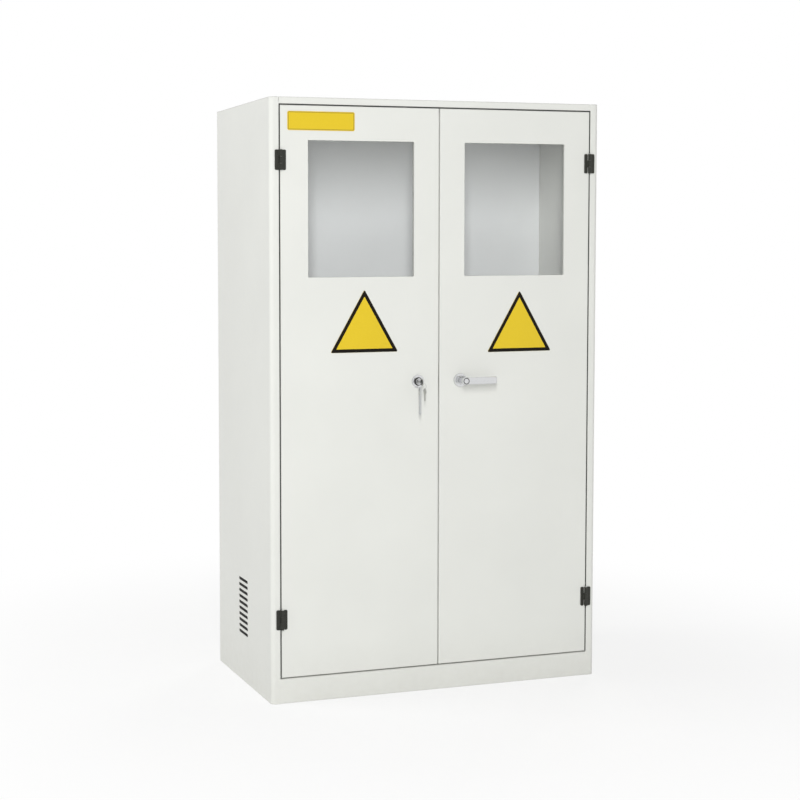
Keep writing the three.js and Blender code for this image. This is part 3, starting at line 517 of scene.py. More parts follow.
def extruded_rubber(name, colour, chalk):
    """Extruded EPDM rubber: a soft grey with fine length lines and a paler bloom of chalk."""
    # The bloom clouds over about 40 mm.
    material, add, coords, _, chalked = new_mottled(name, 40 * MM, 4.0, colour, linear(chalk))
    # Die lines lie 1.5 mm apart across the strip.
    lines = add("ShaderNodeTexNoise", {"Vector": coords, "Scale": 1 / (1.5 * MM), "Detail": 1.0})
    skin = add("ShaderNodeBump", {"Height": lines, "Strength": 0.2, "Distance": 0.2 * MM})
    return show(material, "ShaderNodeBsdfPrincipled", {
        "Base Color": chalked, "Roughness": 0.78, "Normal": skin, "IOR": 1.52,
    })


def shade_fleece(name):
    """Needle-punched polyester fleece, near-black and quite matt, with short felted fibres. Its
    near-black is painted shade behind the louvres.
    """
    # The fibres lie about 0.3 mm apart. They are drawn at 1.5 mm so that they show.
    material, add, _, felt, tinted = new_mottled(
        name, 1.5 * MM, 4.0, linear("#0b0b0a"), linear("#1b1b19"),
    )
    skin = add("ShaderNodeBump", {"Height": felt, "Strength": 0.6, "Distance": 0.5 * MM})
    return show(material, "ShaderNodeBsdfPrincipled", {
        "Base Color": tinted, "Roughness": 0.95, "Normal": skin, "IOR": 1.5,
    })


def laminated_glass(name):
    """Clear laminated safety glass: a faint cool tint, a hard reflection, and light passes into the
    cabinet through it. Finger marks, 60 mm across, show only as a slight change of gloss."""
    material, add, coords = new_material(name)
    marks = add("ShaderNodeTexNoise", {"Vector": coords, "Scale": 1 / (60 * MM), "Detail": 4.0})
    gloss = add("ShaderNodeMapRange", {
        "Value": marks, "From Min": 0.45, "From Max": 0.75, "To Max": 0.035,
    })
    pane = add("ShaderNodeBsdfPrincipled", {
        "Base Color": (*linear("#fdfefe"), 1), "Roughness": gloss, "IOR": 1.52,
        "Transmission Weight": 1.0,
    })
    clear = add("ShaderNodeBsdfTransparent", {"Color": (1, 1, 1, 1)})
    path = add("ShaderNodeLightPath")
    lets_light_in = add("ShaderNodeMath", {
        0: path.outputs["Is Shadow Ray"], 1: path.outputs["Is Diffuse Ray"],
    }, operation="MAXIMUM")
    return show(material, "ShaderNodeMixShader", {"Fac": lets_light_in, 1: pane, 2: clear})


def zinc_plated_steel(name):
    """Bright zinc plate on rolled steel: a soft blue-grey mirror, clouded where it was handled."""
    # The clouds of handling are about 50 mm across.
    material, add, coords, clouds, tinted = new_mottled(
        name, 50 * MM, 4.0, linear("#c3c8cd"), linear("#cfcdc4"),
    )
    rough = add("ShaderNodeMapRange", {
        "Value": clouds, "From Min": 0.3, "From Max": 0.7, "To Min": 0.28, "To Max": 0.42,
    })
    eased = add("ShaderNodeBevel", {"Radius": 0.8 * MM}, samples=4)
    # Rolling marks run 1 mm apart.
    rolling = add("ShaderNodeTexNoise", {"Vector": coords, "Scale": 1 / (1 * MM), "Detail": 1.0})
    skin = add("ShaderNodeBump", {
        "Height": rolling, "Normal": eased, "Strength": 0.06, "Distance": 0.1 * MM,
    })
    return show(material, "ShaderNodeBsdfPrincipled", {
        "Base Color": tinted, "Metallic": 1.0, "Roughness": rough, "Normal": skin,
    })


def galvanised_steel(name):
    """Hot-dip galvanised duct steel: pale zinc crystals, 12 mm across, each at its own sheen."""
    material, add, coords = new_material(name)
    spangle = add("ShaderNodeTexVoronoi", {"Vector": coords, "Scale": 1 / (12 * MM)})
    grey = add("ShaderNodeSeparateColor", {"Color": spangle.outputs["Color"]})
    tinted = add("ShaderNodeMix", {
        0: grey, 6: (*linear("#a9afb4"), 1), 7: (*linear("#c9ced2"), 1),
    }, data_type="RGBA")
    rough = add("ShaderNodeMapRange", {"Value": grey, "To Min": 0.32, "To Max": 0.5})
    return show(material, "ShaderNodeBsdfPrincipled", {
        "Base Color": tinted.outputs[2], "Metallic": 1.0, "Roughness": rough,
    })


def polished_chrome(name):
    """Chrome plate on polished zinc: a clear mirror, its hairlines too fine to see but as haze."""
    material, add, coords = new_material(name)
    # The haze clouds over about 8 mm.
    haze = add("ShaderNodeTexNoise", {"Vector": coords, "Scale": 1 / (8 * MM), "Detail": 3.0})
    rough = add("ShaderNodeMapRange", {
        "Value": haze, "From Min": 0.35, "From Max": 0.7, "To Min": 0.12, "To Max": 0.2,
    })
    eased = add("ShaderNodeBevel", {"Radius": 0.5 * MM}, samples=4)
    return show(material, "ShaderNodeBsdfPrincipled", {
        "Base Color": (*linear("#d6d7d8"), 1), "Metallic": 1.0, "Roughness": rough, "Normal": eased,
    })


def nickel_plated_brass(name):
    """Nickel-plated brass key blank: warmer and softer than chrome, with fine tumbling marks."""
    material, add, coords = new_material(name)
    # The tumbling marks are about 1.5 mm long.
    marks = add("ShaderNodeTexNoise", {"Vector": coords, "Scale": 1 / (1.5 * MM), "Detail": 3.0})
    rough = add("ShaderNodeMapRange", {
        "Value": marks, "From Min": 0.35, "From Max": 0.7, "To Min": 0.2, "To Max": 0.36,
    })
    return show(material, "ShaderNodeBsdfPrincipled", {
        "Base Color": (*linear("#b4b4b0"), 1), "Metallic": 1.0, "Roughness": rough,
    })


def moulded_polypropylene(name, dark, pale):
    """Moulded polypropylene: a waxy plastic with a fine spark-eroded grain."""
    # The mould's grain is about 0.4 mm. It is drawn at 1.2 mm so that it shows.
    material, add, _, grain, shaded = new_mottled(name, 1.2 * MM, 2.0, linear(dark), linear(pale))
    skin = add("ShaderNodeBump", {"Height": grain, "Strength": 0.15, "Distance": 0.1 * MM})
    return show(material, "ShaderNodeBsdfPrincipled", {
        "Base Color": shaded, "Roughness": 0.45, "Normal": skin, "IOR": 1.49,
    })


def screen_printed_sheet(name, colour, fade, varnish=0.5):
    """Screen-printed aluminium sheet: an even ink film, slightly mottled, under clear varnish."""
    # The mesh of the screen leaves a mottle about 3 mm across, drawn at 6 mm.
    material, add, _, mottle, inked = new_mottled(name, 6 * MM, 2.0, colour, linear(fade))
    gloss = add("ShaderNodeMapRange", {
        "Value": mottle, "From Min": 0.3, "From Max": 0.7, "To Min": 0.28, "To Max": 0.36,
    })
    return show(material, "ShaderNodeBsdfPrincipled", {
        "Base Color": inked, "Roughness": gloss, "IOR": 1.5, "Specular IOR Level": varnish,
    })


def build_finishes(settings, signs):
    """Makes each finish once. The second tone of a mottled finish stands beside it."""
    peel = settings.peel_pitch
    matt_ink = 0.08  # Keeps the black deep under bright surroundings
    FINISHES.update({
        "enamel": powder_coated_steel(
            "white_powder_coat", settings.enamel, settings.enamel_roughness, peel,
        ),
        # The interior coat is paler than its own colour, as painted light inside the cabinet.
        "interior": powder_coated_steel(
            "grey_powder_coat", settings.interior, 0.5, peel, dust_and_shade=0.35, edge_wear_and_shade=0.25,
        ),
        "casting": powder_coated_casting("charcoal_powder_coat", settings.charcoal),
        "rubber": extruded_rubber("black_epdm_rubber", settings.rubber, "#3e3f3d"),
        "pale_rubber": extruded_rubber(
            "grey_epdm_rubber", settings.meeting_rubber, "#cfd0cc",
        ),
        "fleece": shade_fleece("black_filter_fleece"),
        "glass": laminated_glass("laminated_safety_glass"),
        "zinc": zinc_plated_steel("bright_zinc_plate"),
        "galvanised": galvanised_steel("galvanised_duct_steel"),
        "chrome": polished_chrome("polished_chrome_plate"),
        "nickel": nickel_plated_brass("nickel_plated_brass"),
        "tag": moulded_polypropylene("grey_polypropylene", "#b3b5b6", "#c0c2c3"),
        "grip": moulded_polypropylene("black_polypropylene", "#2a2a29", "#363635"),
        "yellow": screen_printed_sheet("yellow_printed_sheet", signs.yellow, "#d8ba19"),
        "black": screen_printed_sheet(
            "black_printed_sheet", signs.border_black, "#171410", matt_ink,
        ),
        "olive": screen_printed_sheet("olive_printed_sheet", signs.rim_olive, "#9c8520"),
    })


# The finish of each of the CAD nodes' material slots
SLOT_FINISHES = {
    "white_enamel": "enamel",
    "interior_grey": "interior",
    "hinge_black": "casting",
    "seal_rubber": "rubber",
    "window_glass": "glass",
    "zinc_plated": "zinc",
    "bright_chrome": "chrome",
    "tag_plastic": "tag",
}


class CABINET_OT_finishes(bpy.types.Operator):
    """Gives every CAD piece its real finish"""

    bl_idname = "cabinet.finishes"
    bl_label = "Finishes"

    def execute(self, context):
        build_finishes(context.scene.cabinet_finish, context.scene.cabinet_signs)
        for entry in frame["record"]["subparts"]:
            mesh = frame["nodes"][entry["node"]].data
            mesh.materials.clear()
            finish = SLOT_FINISHES[entry["material_slot"]]
            if entry["node"].startswith("meeting_seal"):
                finish = "pale_rubber"
            mesh.materials.append(FINISHES[finish])
        return {"FINISHED"}


# Pieces

SHEET = 1.5 * MM
FILM = 0.15 * MM  # Thickness of an ink film on a sign plate
LOUVRE_MIDDLE = 10 * MM  # The louvres' middle, behind the frame's own


class CABINET_OT_carcass_details(bpy.types.Operator):
    """Adds the frame's ground weld seams, the seal lip round the doors, which is also painted shade
    in the gap, and near-black fleece pads behind the louvres as painted shade
    """

    bl_idname = "cabinet.carcass_details"
    bl_label = "Carcass details"

    def execute(self, context):
        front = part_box("sill_rail")[0].y
        rails = (("sill", 0.0, DOORWAY_LOW), ("header", DOORWAY_HIGH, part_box("roof_panel")[0].z))
        for side, sign in (("left", -1), ("right", 1)):
            for rail, low, high in rails:
                self.add_weld(f"weld_{rail}_{side}", sign, front, low, high)
            self.add_shade_pad(side, sign)
        self.add_lip_and_gap_shade(front)
        return {"FINISHED"}

    def add_lip_and_gap_shade(self, front):
        """The seal's lip: a dark rubber strip in the gap on the hinge sides and along the doors'
        top, which also stands in as painted shade in the gap.
        """
        clear = 0.5 * MM
        set_back = 1.2 * MM
        depth = 4 * MM
        inner = SEAM_EDGE - DOOR_GAP + clear
        low, high = DOORWAY_LOW + DOOR_GAP, DOORWAY_HIGH
        under = high - DOOR_GAP + clear
        outline = [(-SEAM_EDGE, low), (-inner, low), (-inner, under), (inner, under), (inner, low),
                   (SEAM_EDGE, low), (SEAM_EDGE, high), (-SEAM_EDGE, high)]
        place = facing_front(0, front + set_back + depth / 2, 0)
        cut_plate("seal_lip", [outline], depth, 0.7 * MM, place, "rubber", "carcass")

    def add_weld(self, name, sign, front, low, high):
        """A bead that fills the groove beside the post's fold and is ground all but flush."""
        middle_x = sign * (SEAM_EDGE + WELD_WIDTH / 4)
        half = WELD_WIDTH / 2
        depth = 1.6 * MM
        proud = 0.05 * MM
        foot = 0.4 * MM
        flat = half * 0.55
        outline = [(-half, foot), (-flat, -proud), (flat, -proud), (half, foot), (0, depth)]
        bm = bmesh.new()
        skin_rings(bm, [
            [bm.verts.new((middle_x + x, front + y, z)) for x, y in outline] for z in (low, high)
        ])
        new_piece(name, bm, "enamel", "carcass", sharp=20)

    def add_shade_pad(self, side, sign):
        """A near-black pad of fleece in the side panel, behind its louvres: painted shade in the
        slots.
        """
        inner = abs(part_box(f"side_panel_{side}")[0 if sign < 0 else 1].x) - SHEET
        thickness = 1.4 * MM
        outline = rounded_outline(rectangle(60 * MM, 152 * MM, 374 * MM), 4 * MM)
        place = facing_side(sign * (inner - thickness / 2), LOUVRE_MIDDLE, 0)
        cut_plate(
            f"louvre_filter_{side}", [outline], thickness, 0.5 * MM, place, "fleece", "carcass",
        )


class CABINET_OT_sign_plates(bpy.types.Operator):
    """Adds the bare triangular and rectangular sign plates to the doors"""

    bl_idname = "cabinet.sign_plates"
    bl_label = "Sign plates"

    def execute(self, context):
        signs = context.scene.cabinet_signs
        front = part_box("door_shell_left")[0].y
        for side, place in (("left", signs.left_place), ("right", signs.right_place)):
            self.add_triangle(signs, side, place, front)
        self.add_plate(signs, front)
        return {"FINISHED"}

    def add_triangle(self, signs, side, place, front):
        rise = signs.side * math.sqrt(3) / 2

        def outline(inset, radius):
            half = signs.side / 2 - inset * math.sqrt(3)
            return rounded_outline([(-half, inset), (half, inset), (0, rise - 2 * inset)], radius)

        body = f"{side}_door"
        cut_plate(
            f"triangle_plate_{side}", [outline(0, 3.5 * MM)], signs.thickness, 0.25 * MM,
            facing_front(place[0], front - signs.thickness / 2, place[1]), "yellow", body,
        )
        cut_plate(
            f"triangle_border_{side}",
            [outline(0.1 * MM, 3.4 * MM), outline(signs.border, 0.8 * MM)], FILM, 0.04 * MM,
            facing_front(place[0], front - signs.thickness - FILM / 2, place[1]), "black", body,
        )

    def add_plate(self, signs, front):
        """The rectangular plate, beside the upper hinge and above the left window."""
        half_width = signs.plate_width / 2
        half_height = signs.plate_height / 2
        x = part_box("hinge_door_leaf_left_top")[1].x + 5.5 * MM + half_width
        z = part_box("window_pane_left")[1].z + 19.5 * MM + half_height

        def outline(inset, radius):
            high = half_height - inset
            return rounded_outline(rectangle(half_width - inset, -high, high), radius)

        cut_plate(
            "name_plate", [outline(0, 6 * MM)], signs.thickness, 0.4 * MM,
            facing_front(x, front - signs.thickness / 2, z), "yellow", "left_door",
        )
        cut_plate(
            "name_plate_rim", [outline(2.2 * MM, 4.6 * MM), outline(4.6 * MM, 2.4 * MM)],
            FILM, 0.04 * MM, facing_front(x, front - signs.thickness - FILM / 2, z), "olive",
            "left_door",
        )


class CABINET_OT_lever_set(bpy.types.Operator):
    """Replaces the lever and its rose with finely rounded ones"""

    bl_idname = "cabinet.lever_set"
    bl_label = "Lever handle"

    def execute(self, context):
        hardware = context.scene.cabinet_hardware
        low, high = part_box("lever_handle")
        axis = ends_and_middle("handle_rose")[2]
        hub_radius = (high.z - low.z) / 2
        lever = self.add_hub(hardware, axis, low.y, high.y, hub_radius)
        bar = self.add_bar(hardware, axis, low.y + 1.2 * MM, high.x, hub_radius)
        union = {"operation": "UNION", "object": bar, "solver": "EXACT"}
        bake(lever, [("BOOLEAN", union)], sharp=40)
        bpy.data.objects.remove(bar)
        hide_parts("lever_handle")
        self.add_rose(hardware)
        return {"FINISHED"}

    def add_hub(self, hardware, axis, front, back, radius):
        """The hub's face, its turned waist and the neck that runs into the rose."""
        neck = radius - 4 * MM
        face = 2 * MM
        depth = 12 * MM
        groove = 1.2 * MM
        chamfer = 0.3 * MM
        rim = radius - face
        cap = rim - 2.6 * MM
        place = (axis.x, front + chamfer, axis.z)
        add_washer("hub_washer", place, cap, rim, groove - chamfer, "handle")
        profile = [(0, 0), (cap - chamfer, 0), (cap, chamfer), (cap, groove), (rim, groove)]
        profile += arc((radius - face, face), face, -90, 0, 8)
        profile += arc((radius - face, depth - face), face, 0, 60, 6)
        profile += arc((neck + 3 * MM, depth + 3.2 * MM), 3 * MM, 250, 180, 6)
        profile += [(neck, back - front), (0, back - front)]
        return new_turned(
            "lever_cast", profile, (axis.x, front, axis.z), TO_BACK, "chrome", "handle",
            hardware.segments,
        )

    def add_bar(self, hardware, axis, front, end, hub_radius):
        """A flat bar that leaves the hub, bends back to the door and closes in a rounded tip."""
        thickness = 9 * MM
        height = 24 * MM
        bend = 8.5 * MM
        tip_back = front + 20 * MM
        mid = front + thickness / 2
        corner = Vector((end - thickness / 2 - bend, mid + bend))
        stations = [
            (Vector((x, mid)), Vector((0, -1)), 1.0)
            for x in (axis.x, axis.x + hub_radius, corner.x - 30 * MM)
        ]
        for point in arc(tuple(corner), bend, -90, 0, 14):
            stations.append((Vector(point), (Vector(point) - corner).normalized(), 1.0))
        last = stations[-1][0]
        reach = tip_back - last.y
        # Shares of the way to the tip, each with the size of the section there
        for share, scale in ((0.45, 1.0), (0.7, 0.94), (0.88, 0.8), (0.97, 0.58), (1.0, 0.3)):
            stations.append((Vector((last.x, corner.y + reach * share)), Vector((1, 0)), scale))
        half_width = thickness / 2
        section = rounded_outline(
            rectangle(half_width, -height / 2, height / 2), hardware.lever_edge, 8,
        )
        bm = bmesh.new()
        rings = []
        for centre, outward, scale in stations:
            shrink = (1 - scale) * half_width
            ring = []
            for across, up in section:
                out = across * scale
                rise = math.copysign(max(abs(up) - shrink, 0), up)
                ring.append(bm.verts.new((
                    centre.x + outward.x * out, centre.y + outward.y * out, axis.z + rise,
                )))
            rings.append(ring)
        skin_rings(bm, rings)
        return new_piece("lever_bar", bm, "chrome", "handle", sharp=50)

    def add_rose(self, hardware):
        """The domed rose with a fine turned groove round the neck."""
        bore = 9.3 * MM
        # The bore's chamfer and the groove, as (distance from the bore, depth) in millimetres
        lip = ((0, 0.6), (0.6, 0), (3.2, 0), (3.6, 0.5), (4.2, 0.5), (4.6, 0))
        rose = new_ring(
            "handle_rose_turned", "handle_rose", bore, 3.4 * MM, 10,
            [(bore + out * MM, depth * MM) for out, depth in lip], "right_door", hardware.segments,
        )
        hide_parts("handle_rose")


class CABINET_OT_lock_set(bpy.types.Operator):
    """Replaces the lock's rose and cylinder, its keys, ring and tag with finely made ones"""

    bl_idname = "cabinet.lock_set"
    bl_label = "Lock and keys"

    def execute(self, context):
        hardware = context.scene.cabinet_hardware
        self.add_rose(hardware)
        self.add_cylinder(hardware)
        self.add_door_key()
        self.add_spare_key()
        self.add_ring(hardware)
        self.add_tag()
        return {"FINISHED"}

    def add_rose(self, hardware):
        """The rose, with a rubber washer in the groove round the cylinder."""
        low, _, centre = ends_and_middle("lock_rose")
        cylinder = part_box("lock_cylinder")
        bore = (cylinder[1].x - cylinder[0].x) / 2 + 0.4 * MM
        groove = 1.4 * MM
        set_back = 0.4 * MM
        chamfer = 0.3 * MM
        rim = bore + 2.8 * MM
        place = (centre.x, low.y + set_back, centre.z)
        add_washer("lock_washer", place, bore, rim, groove - set_back, "left_door")
        lip = [(bore, groove), (rim, groove), (rim, chamfer), (rim + chamfer, 0)]
        rose = new_ring(
            "lock_rose_turned", "lock_rose", bore, 2.4 * MM, 10, lip, "left_door",
            hardware.segments,
        )
        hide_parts("lock_rose")

    def add_cylinder(self, hardware):
        bore = 7.25 * MM
        chamfer = 0.4 * MM
        sleeve = new_ring(
            "lock_cylinder_turned", "lock_cylinder", bore, 0.8 * MM, 6,
            [(bore, chamfer), (bore + chamfer, 0)], "left_door", hardware.segments,
        )
        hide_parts("lock_cylinder")

    def add_door_key(self):
        """The key in the lock, its bow in a moulded grip."""
        low, high, centre = ends_and_middle("door_key")
        thickness = high.x - low.x
        bow = (high.z - low.z) / 2
        bow_y = low.y + bow
        blade = 3.5 * MM
        reach = high.y - bow_y
        root = blade + 1 * MM
        meet = math.sqrt(bow ** 2 - root ** 2)
        angle = math.degrees(math.asin(root / bow))
        upper = [(reach, 0.4 * MM), (reach - 3 * MM, blade), (meet + 3 * MM, blade),
                 (meet + 2 * MM, blade + 0.8 * MM)]
        outline = arc((0, 0), bow, angle, 360 - angle, 44)
        outline += [(x, -y) for x, y in reversed(upper)] + upper
        hole = arc((-6 * MM, 0), 3.5 * MM, 0, 345, 23)
        place = facing_side(centre.x, bow_y, centre.z)
        key = cut_plate(
            "door_key_cut", [outline, hole], thickness, 0.3 * MM, place, "nickel", "key",
        )
        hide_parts("door_key")
        grip = arc((-1 * MM, 0), 8.5 * MM, 0, 352, 44)
        cut_plate(
            "door_key_grip", [grip, hole], thickness + 1.8 * MM, 0.6 * MM, place, "grip", "key",
        )

    def add_spare_key(self):
        """The key on the ring, with its cuts to the back."""
        low, high, centre = ends_and_middle("spare_key")
        bow = (high.y - low.y) / 2
        bow_z = high.z - bow
        reach = bow_z - low.z
        half = 3.5 * MM
        angle = math.degrees(math.asin(half / bow))
        outline = arc((0, 0), bow, -90 + angle, 270 - angle, 44)
        # The cuts of the key, as (distance from the bow's centre, depth), on its rear edge
        cuts = ((14, 0), (16, 1.4), (18, 1.4), (20, 0.4), (22, 2.0), (24, 2.0), (26, 0.8),
                (28, 1.6), (30, 0))
        outline += [(-half, -distance * MM) for distance in (14, 20, 28)]
        outline += [(-half, -reach + half), (0, -reach), (half, -reach + half)]
        outline += [(half - depth * MM, -distance * MM) for distance, depth in reversed(cuts)]
        hole = arc((0, 5.5 * MM), 3.5 * MM, 0, 345, 23)
        place = facing_side(centre.x, centre.y, bow_z)
        key = cut_plate(
            "spare_key_cut", [outline, hole], high.x - low.x, 0.3 * MM, place, "nickel",
            "key_bunch",
        )
        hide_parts("spare_key")

    def add_ring(self, hardware):
        """A split ring: two turns of wire that lie against each other."""
        low, high, centre = ends_and_middle("key_ring")
        wire = hardware.ring_wire
        radius = (high.x - low.x) / 2 - wire
        turns = 2.1
        steps = 168
        sides = 10
        bm = bmesh.new()
        rings = []
        for share in spread(0, 1, steps + 1):
            angle = turns * 2 * math.pi * share
            y = centre.y + (share - 0.5) * wire * turns
            outward = Vector((math.sin(angle), 0, math.cos(angle)))
            at = Vector((centre.x, y, centre.z)) + outward * radius
            ring = []
            for side in range(sides):
                turn = 2 * math.pi * side / sides
                off = outward * math.cos(turn) + Vector(TO_BACK) * math.sin(turn)
                ring.append(bm.verts.new(at + off * wire))
            rings.append(ring)
        skin_rings(bm, rings)
        ring = new_piece("split_ring", bm, "chrome", "key_bunch", sharp=50)
        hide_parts("key_ring")

    def add_tag(self):
        """A moulded tag in a folded zinc clip, which also darkens the tag's top as painted shade.
        """
        low, high, centre = ends_and_middle("key_tag")
        thickness = high.x - low.x
        half = (high.y - low.y) / 2
        outline = rounded_outline(rectangle(half, low.z - high.z, 0), half - 1.5 * MM, 10)
        hole = arc((0, -8 * MM), 4 * MM, 0, 345, 23)
        place = facing_side(centre.x, centre.y, high.z)
        tag = cut_plate(
            "key_tag_moulded", [outline, hole], thickness, 0.7 * MM, place, "tag", "key_bunch",
        )
        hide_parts("key_tag")
        # The zinc clip over the tag's top also stands in as painted shade there.
        rim = 0.8 * MM
        clip = rounded_outline(rectangle(half + rim, -24 * MM, rim), 1.5 * MM)
        cut_plate(
            "key_tag_clip", [clip, hole], thickness + 2 * rim, 0.4 * MM, place, "zinc", "key_bunch",
        )


class CABINET_OT_exhaust_collar(bpy.types.Operator):
    """Replaces the roof collar with a finely turned one"""

    bl_idname = "cabinet.exhaust_collar"
    bl_label = "Exhaust collar"

    def execute(self, context):
        low, high, centre = ends_and_middle("exhaust_collar")
        outer = 62.5 * MM
        bore = 61 * MM
        flange = (high.x - low.x) / 2
        top = high.z - low.z
        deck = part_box("roof_panel")[1].z - low.z
        bead = top - 10 * MM
        chamfer = 0.3 * MM
        profile = [(bore, 0), (outer, 0), (outer, deck), (flange, deck),
                   (flange, deck + 1.6 * MM), (flange - 0.4 * MM, deck + 2 * MM)]
        profile += arc((outer + 3 * MM, deck + 5 * MM), 3 * MM, 270, 180, 6)
        profile += [(outer, bead - 3 * MM)]
        profile += arc((outer, bead), 2 * MM, -90, 90, 8)
        profile += [(outer, top - chamfer), (outer - chamfer, top), (bore + chamfer, top),
                    (bore, top - chamfer), (bore, 0)]
        collar = new_turned(
            "exhaust_collar_turned", profile, (centre.x, centre.y, low.z), UPWARD, "galvanised",
            "carcass", context.scene.cabinet_hardware.segments,
        )
        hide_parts("exhaust_collar")
        return {"FINISHED"}


# Profiles of the small fixings, as (radius, height) shares of the head's radius
DOME = ((1.0, 0.0), (0.97, 0.12), (0.85, 0.26), (0.6, 0.4), (0.3, 0.47), (0, 0.49))
PAN = ((1.0, 0.0), (1.0, 0.3), (0.92, 0.46), (0.7, 0.58), (0.42, 0.62), (0.4, 0.3), (0, 0.3))
FLAT = ((1.0, 0.0), (1.0, 0.06), (0.45, 0.12), (0.4, -0.15), (0, -0.15))
HEX = ((1.0, 0.0), (1.0, 0.62), (0.9, 0.7), (0, 0.7))
WASHER = ((1.0, 0.0), (1.0, 0.14), (0.96, 0.18), (0, 0.18))


def add_fixings(name, points, direction, heads, body):
    """One mesh of like fixings at the points. heads lists (profile, radius, sides, lift)."""
    bm = bmesh.new()
    for point in points:
        for profile, radius, sides, lift in heads:
            base = Vector(point) + Vector(direction) * lift
            outline = [(0, 0)] + [(share * radius, height * radius) for share, height in profile]
            add_turned(bm, outline, base, direction, sides)
    bmesh.ops.recalc_face_normals(bm, faces=bm.faces[:])
    return new_piece(name, bm, "zinc", body, sharp=40)


def corner_points(node, inset):
    """Points on a piece's rear face, near its four corners."""
    low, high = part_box(node)
    return [(x, high.y, z) for x in (low.x + inset, high.x - inset)
            for z in (low.z + inset, high.z - inset)]


class CABINET_OT_fixings(bpy.types.Operator):
    """Adds the rivets, bolts and screws that hold the pieces together"""

    bl_idname = "cabinet.fixings"
    bl_label = "Fixings"

    def execute(self, context):
        radius = context.scene.cabinet_hardware.rivet_radius
        rivet = [(DOME, radius, 20, 0)]
        screw = [(PAN, 3.6 * MM, 20, 0)]
        self.add_collar_rivets(rivet)
        self.add_back_rivets([(DOME, radius * 0.8, 16, 0)])
        self.add_inner_back_rivets(rivet)
        self.add_rail_bolts([(WASHER, 8 * MM, 24, 0), (HEX, 6.5 * MM, 6, 1.4 * MM)])
        self.add_bracket_screws([(FLAT, 5 * MM, 20, 0)])
        for side in ("left", "right"):
            self.add_retainer_screws(side, screw)
        self.add_lock_and_handle_screws(screw)
        return {"FINISHED"}

    def add_collar_rivets(self, rivet):
        low, high, centre = ends_and_middle("exhaust_collar")
        ring = (high.x - low.x) / 2 - 10 * MM
        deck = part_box("roof_panel")[1].z + 2 * MM
        around = arc((centre.x, centre.y), ring, 22.5, 337.5, 7)
        add_fixings("collar_rivets", [(*point, deck) for point in around], UPWARD, rivet, "carcass")

    def add_back_rivets(self, rivet):
        low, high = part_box("back_panel")
        edge = 14 * MM
        heights = spread(low.z + edge, high.z - edge, 10)
        points = [(x, high.y, z) for x in (low.x + 36 * MM, high.x - 36 * MM) for z in heights]
        points += [(x, high.y, z) for z in (heights[0], heights[-1])
                   for x in spread(low.x, high.x, 7)[1:-1]]
        add_fixings("back_rivets", points, TO_BACK, rivet, "carcass")

    def add_inner_back_rivets(self, rivet):
        low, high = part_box("inner_back_panel")
        edge = 25 * MM
        points = [(x, low.y, z) for z in (low.z + 20 * MM, high.z - 15 * MM)
                  for x in spread(low.x + edge, high.x - edge, 8)]
        add_fixings("inner_back_rivets", points, TO_FRONT, rivet, "carcass")

    def add_rail_bolts(self, bolt):
        """A bolt at each end and between each two brackets."""
        low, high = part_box("bracket_rail")
        points = [(x * MM, high.y - 2 * MM, z) for z in (low.z + 9 * MM, high.z - 9 * MM)
                  for x in (-540, -285, 0, 285, 540)]
        add_fixings("rail_bolts", points, TO_FRONT, bolt, "carcass")

    def add_bracket_screws(self, screw):
        points = []
        for number in (1, 2, 3, 4):
            _, high, centre = ends_and_middle(f"cylinder_bracket_{number}")
            for z in (centre.z - 9 * MM, centre.z + 9 * MM):
                points.append((centre.x, high.y - 6 * MM, z))
        add_fixings("bracket_screws", points, TO_FRONT, screw, "carcass")

    def add_retainer_screws(self, side, screw):
        low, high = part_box(f"window_retainer_{side}")
        inset = 5 * MM
        across = spread(low.x + inset, high.x - inset, 4)
        heights = spread(low.z + inset, high.z - inset, 5)
        points = [(x, high.y, z) for x in across for z in (heights[0], heights[-1])]
        points += [(x, high.y, z) for z in heights[1:-1] for x in (across[0], across[-1])]
        add_fixings(f"retainer_screws_{side}", points, TO_BACK, screw, f"{side}_door")

    def add_lock_and_handle_screws(self, screw):
        inset = 7 * MM
        points = corner_points("lock_case", inset)
        add_fixings("lock_case_screws", points, TO_BACK, screw, "left_door")
        points = corner_points("handle_backplate", inset)
        for guide in ("rod_guide_upper", "rod_guide_lower"):
            low, high, centre = ends_and_middle(guide)
            for x in (low.x + inset, high.x - inset):
                points.append((x, low.y + 2 * MM, centre.z))
        add_fixings("handle_screws", points, TO_BACK, screw, "right_door")


# Stage

# The photograph's camera: its place in metres, and its angles in degrees
CAMERA_PLACE = (-2.2158, -5.1386, 1.5018)
CAMERA_TURN = 17.346
CAMERA_TILT = -3.698
CAMERA_ROLL = -0.296

# Its focal length, frame and lens axis, in pixels
CAMERA_FOCUS = 1565.5
FRAME_SIZE = 800
MIDDLE_X = 240
MIDDLE_Y = 352

FLOOR_RADIUS = 60
FARTHEST_SEEN = 200

# Each lamp: its name, its place, the point it is aimed at, its width and height, and the field
# of the stage's settings with its power
LAMPS = (
    ("key_lamp", (-2.58, -6.1, 3.15), (-0.1, -0.3, 1.1), (0.9, 3.8), "key_power"),
    ("side_lamp", (-5.2, 1.2, 4.7), (-0.6, 0.0, 1.6), (2.6, 2.6), "side_power"),
    ("fill_lamp", (4.4, 5.2, 3.6), (0.3, 0.1, 1.2), (2.6, 2.6), "fill_power"),
)


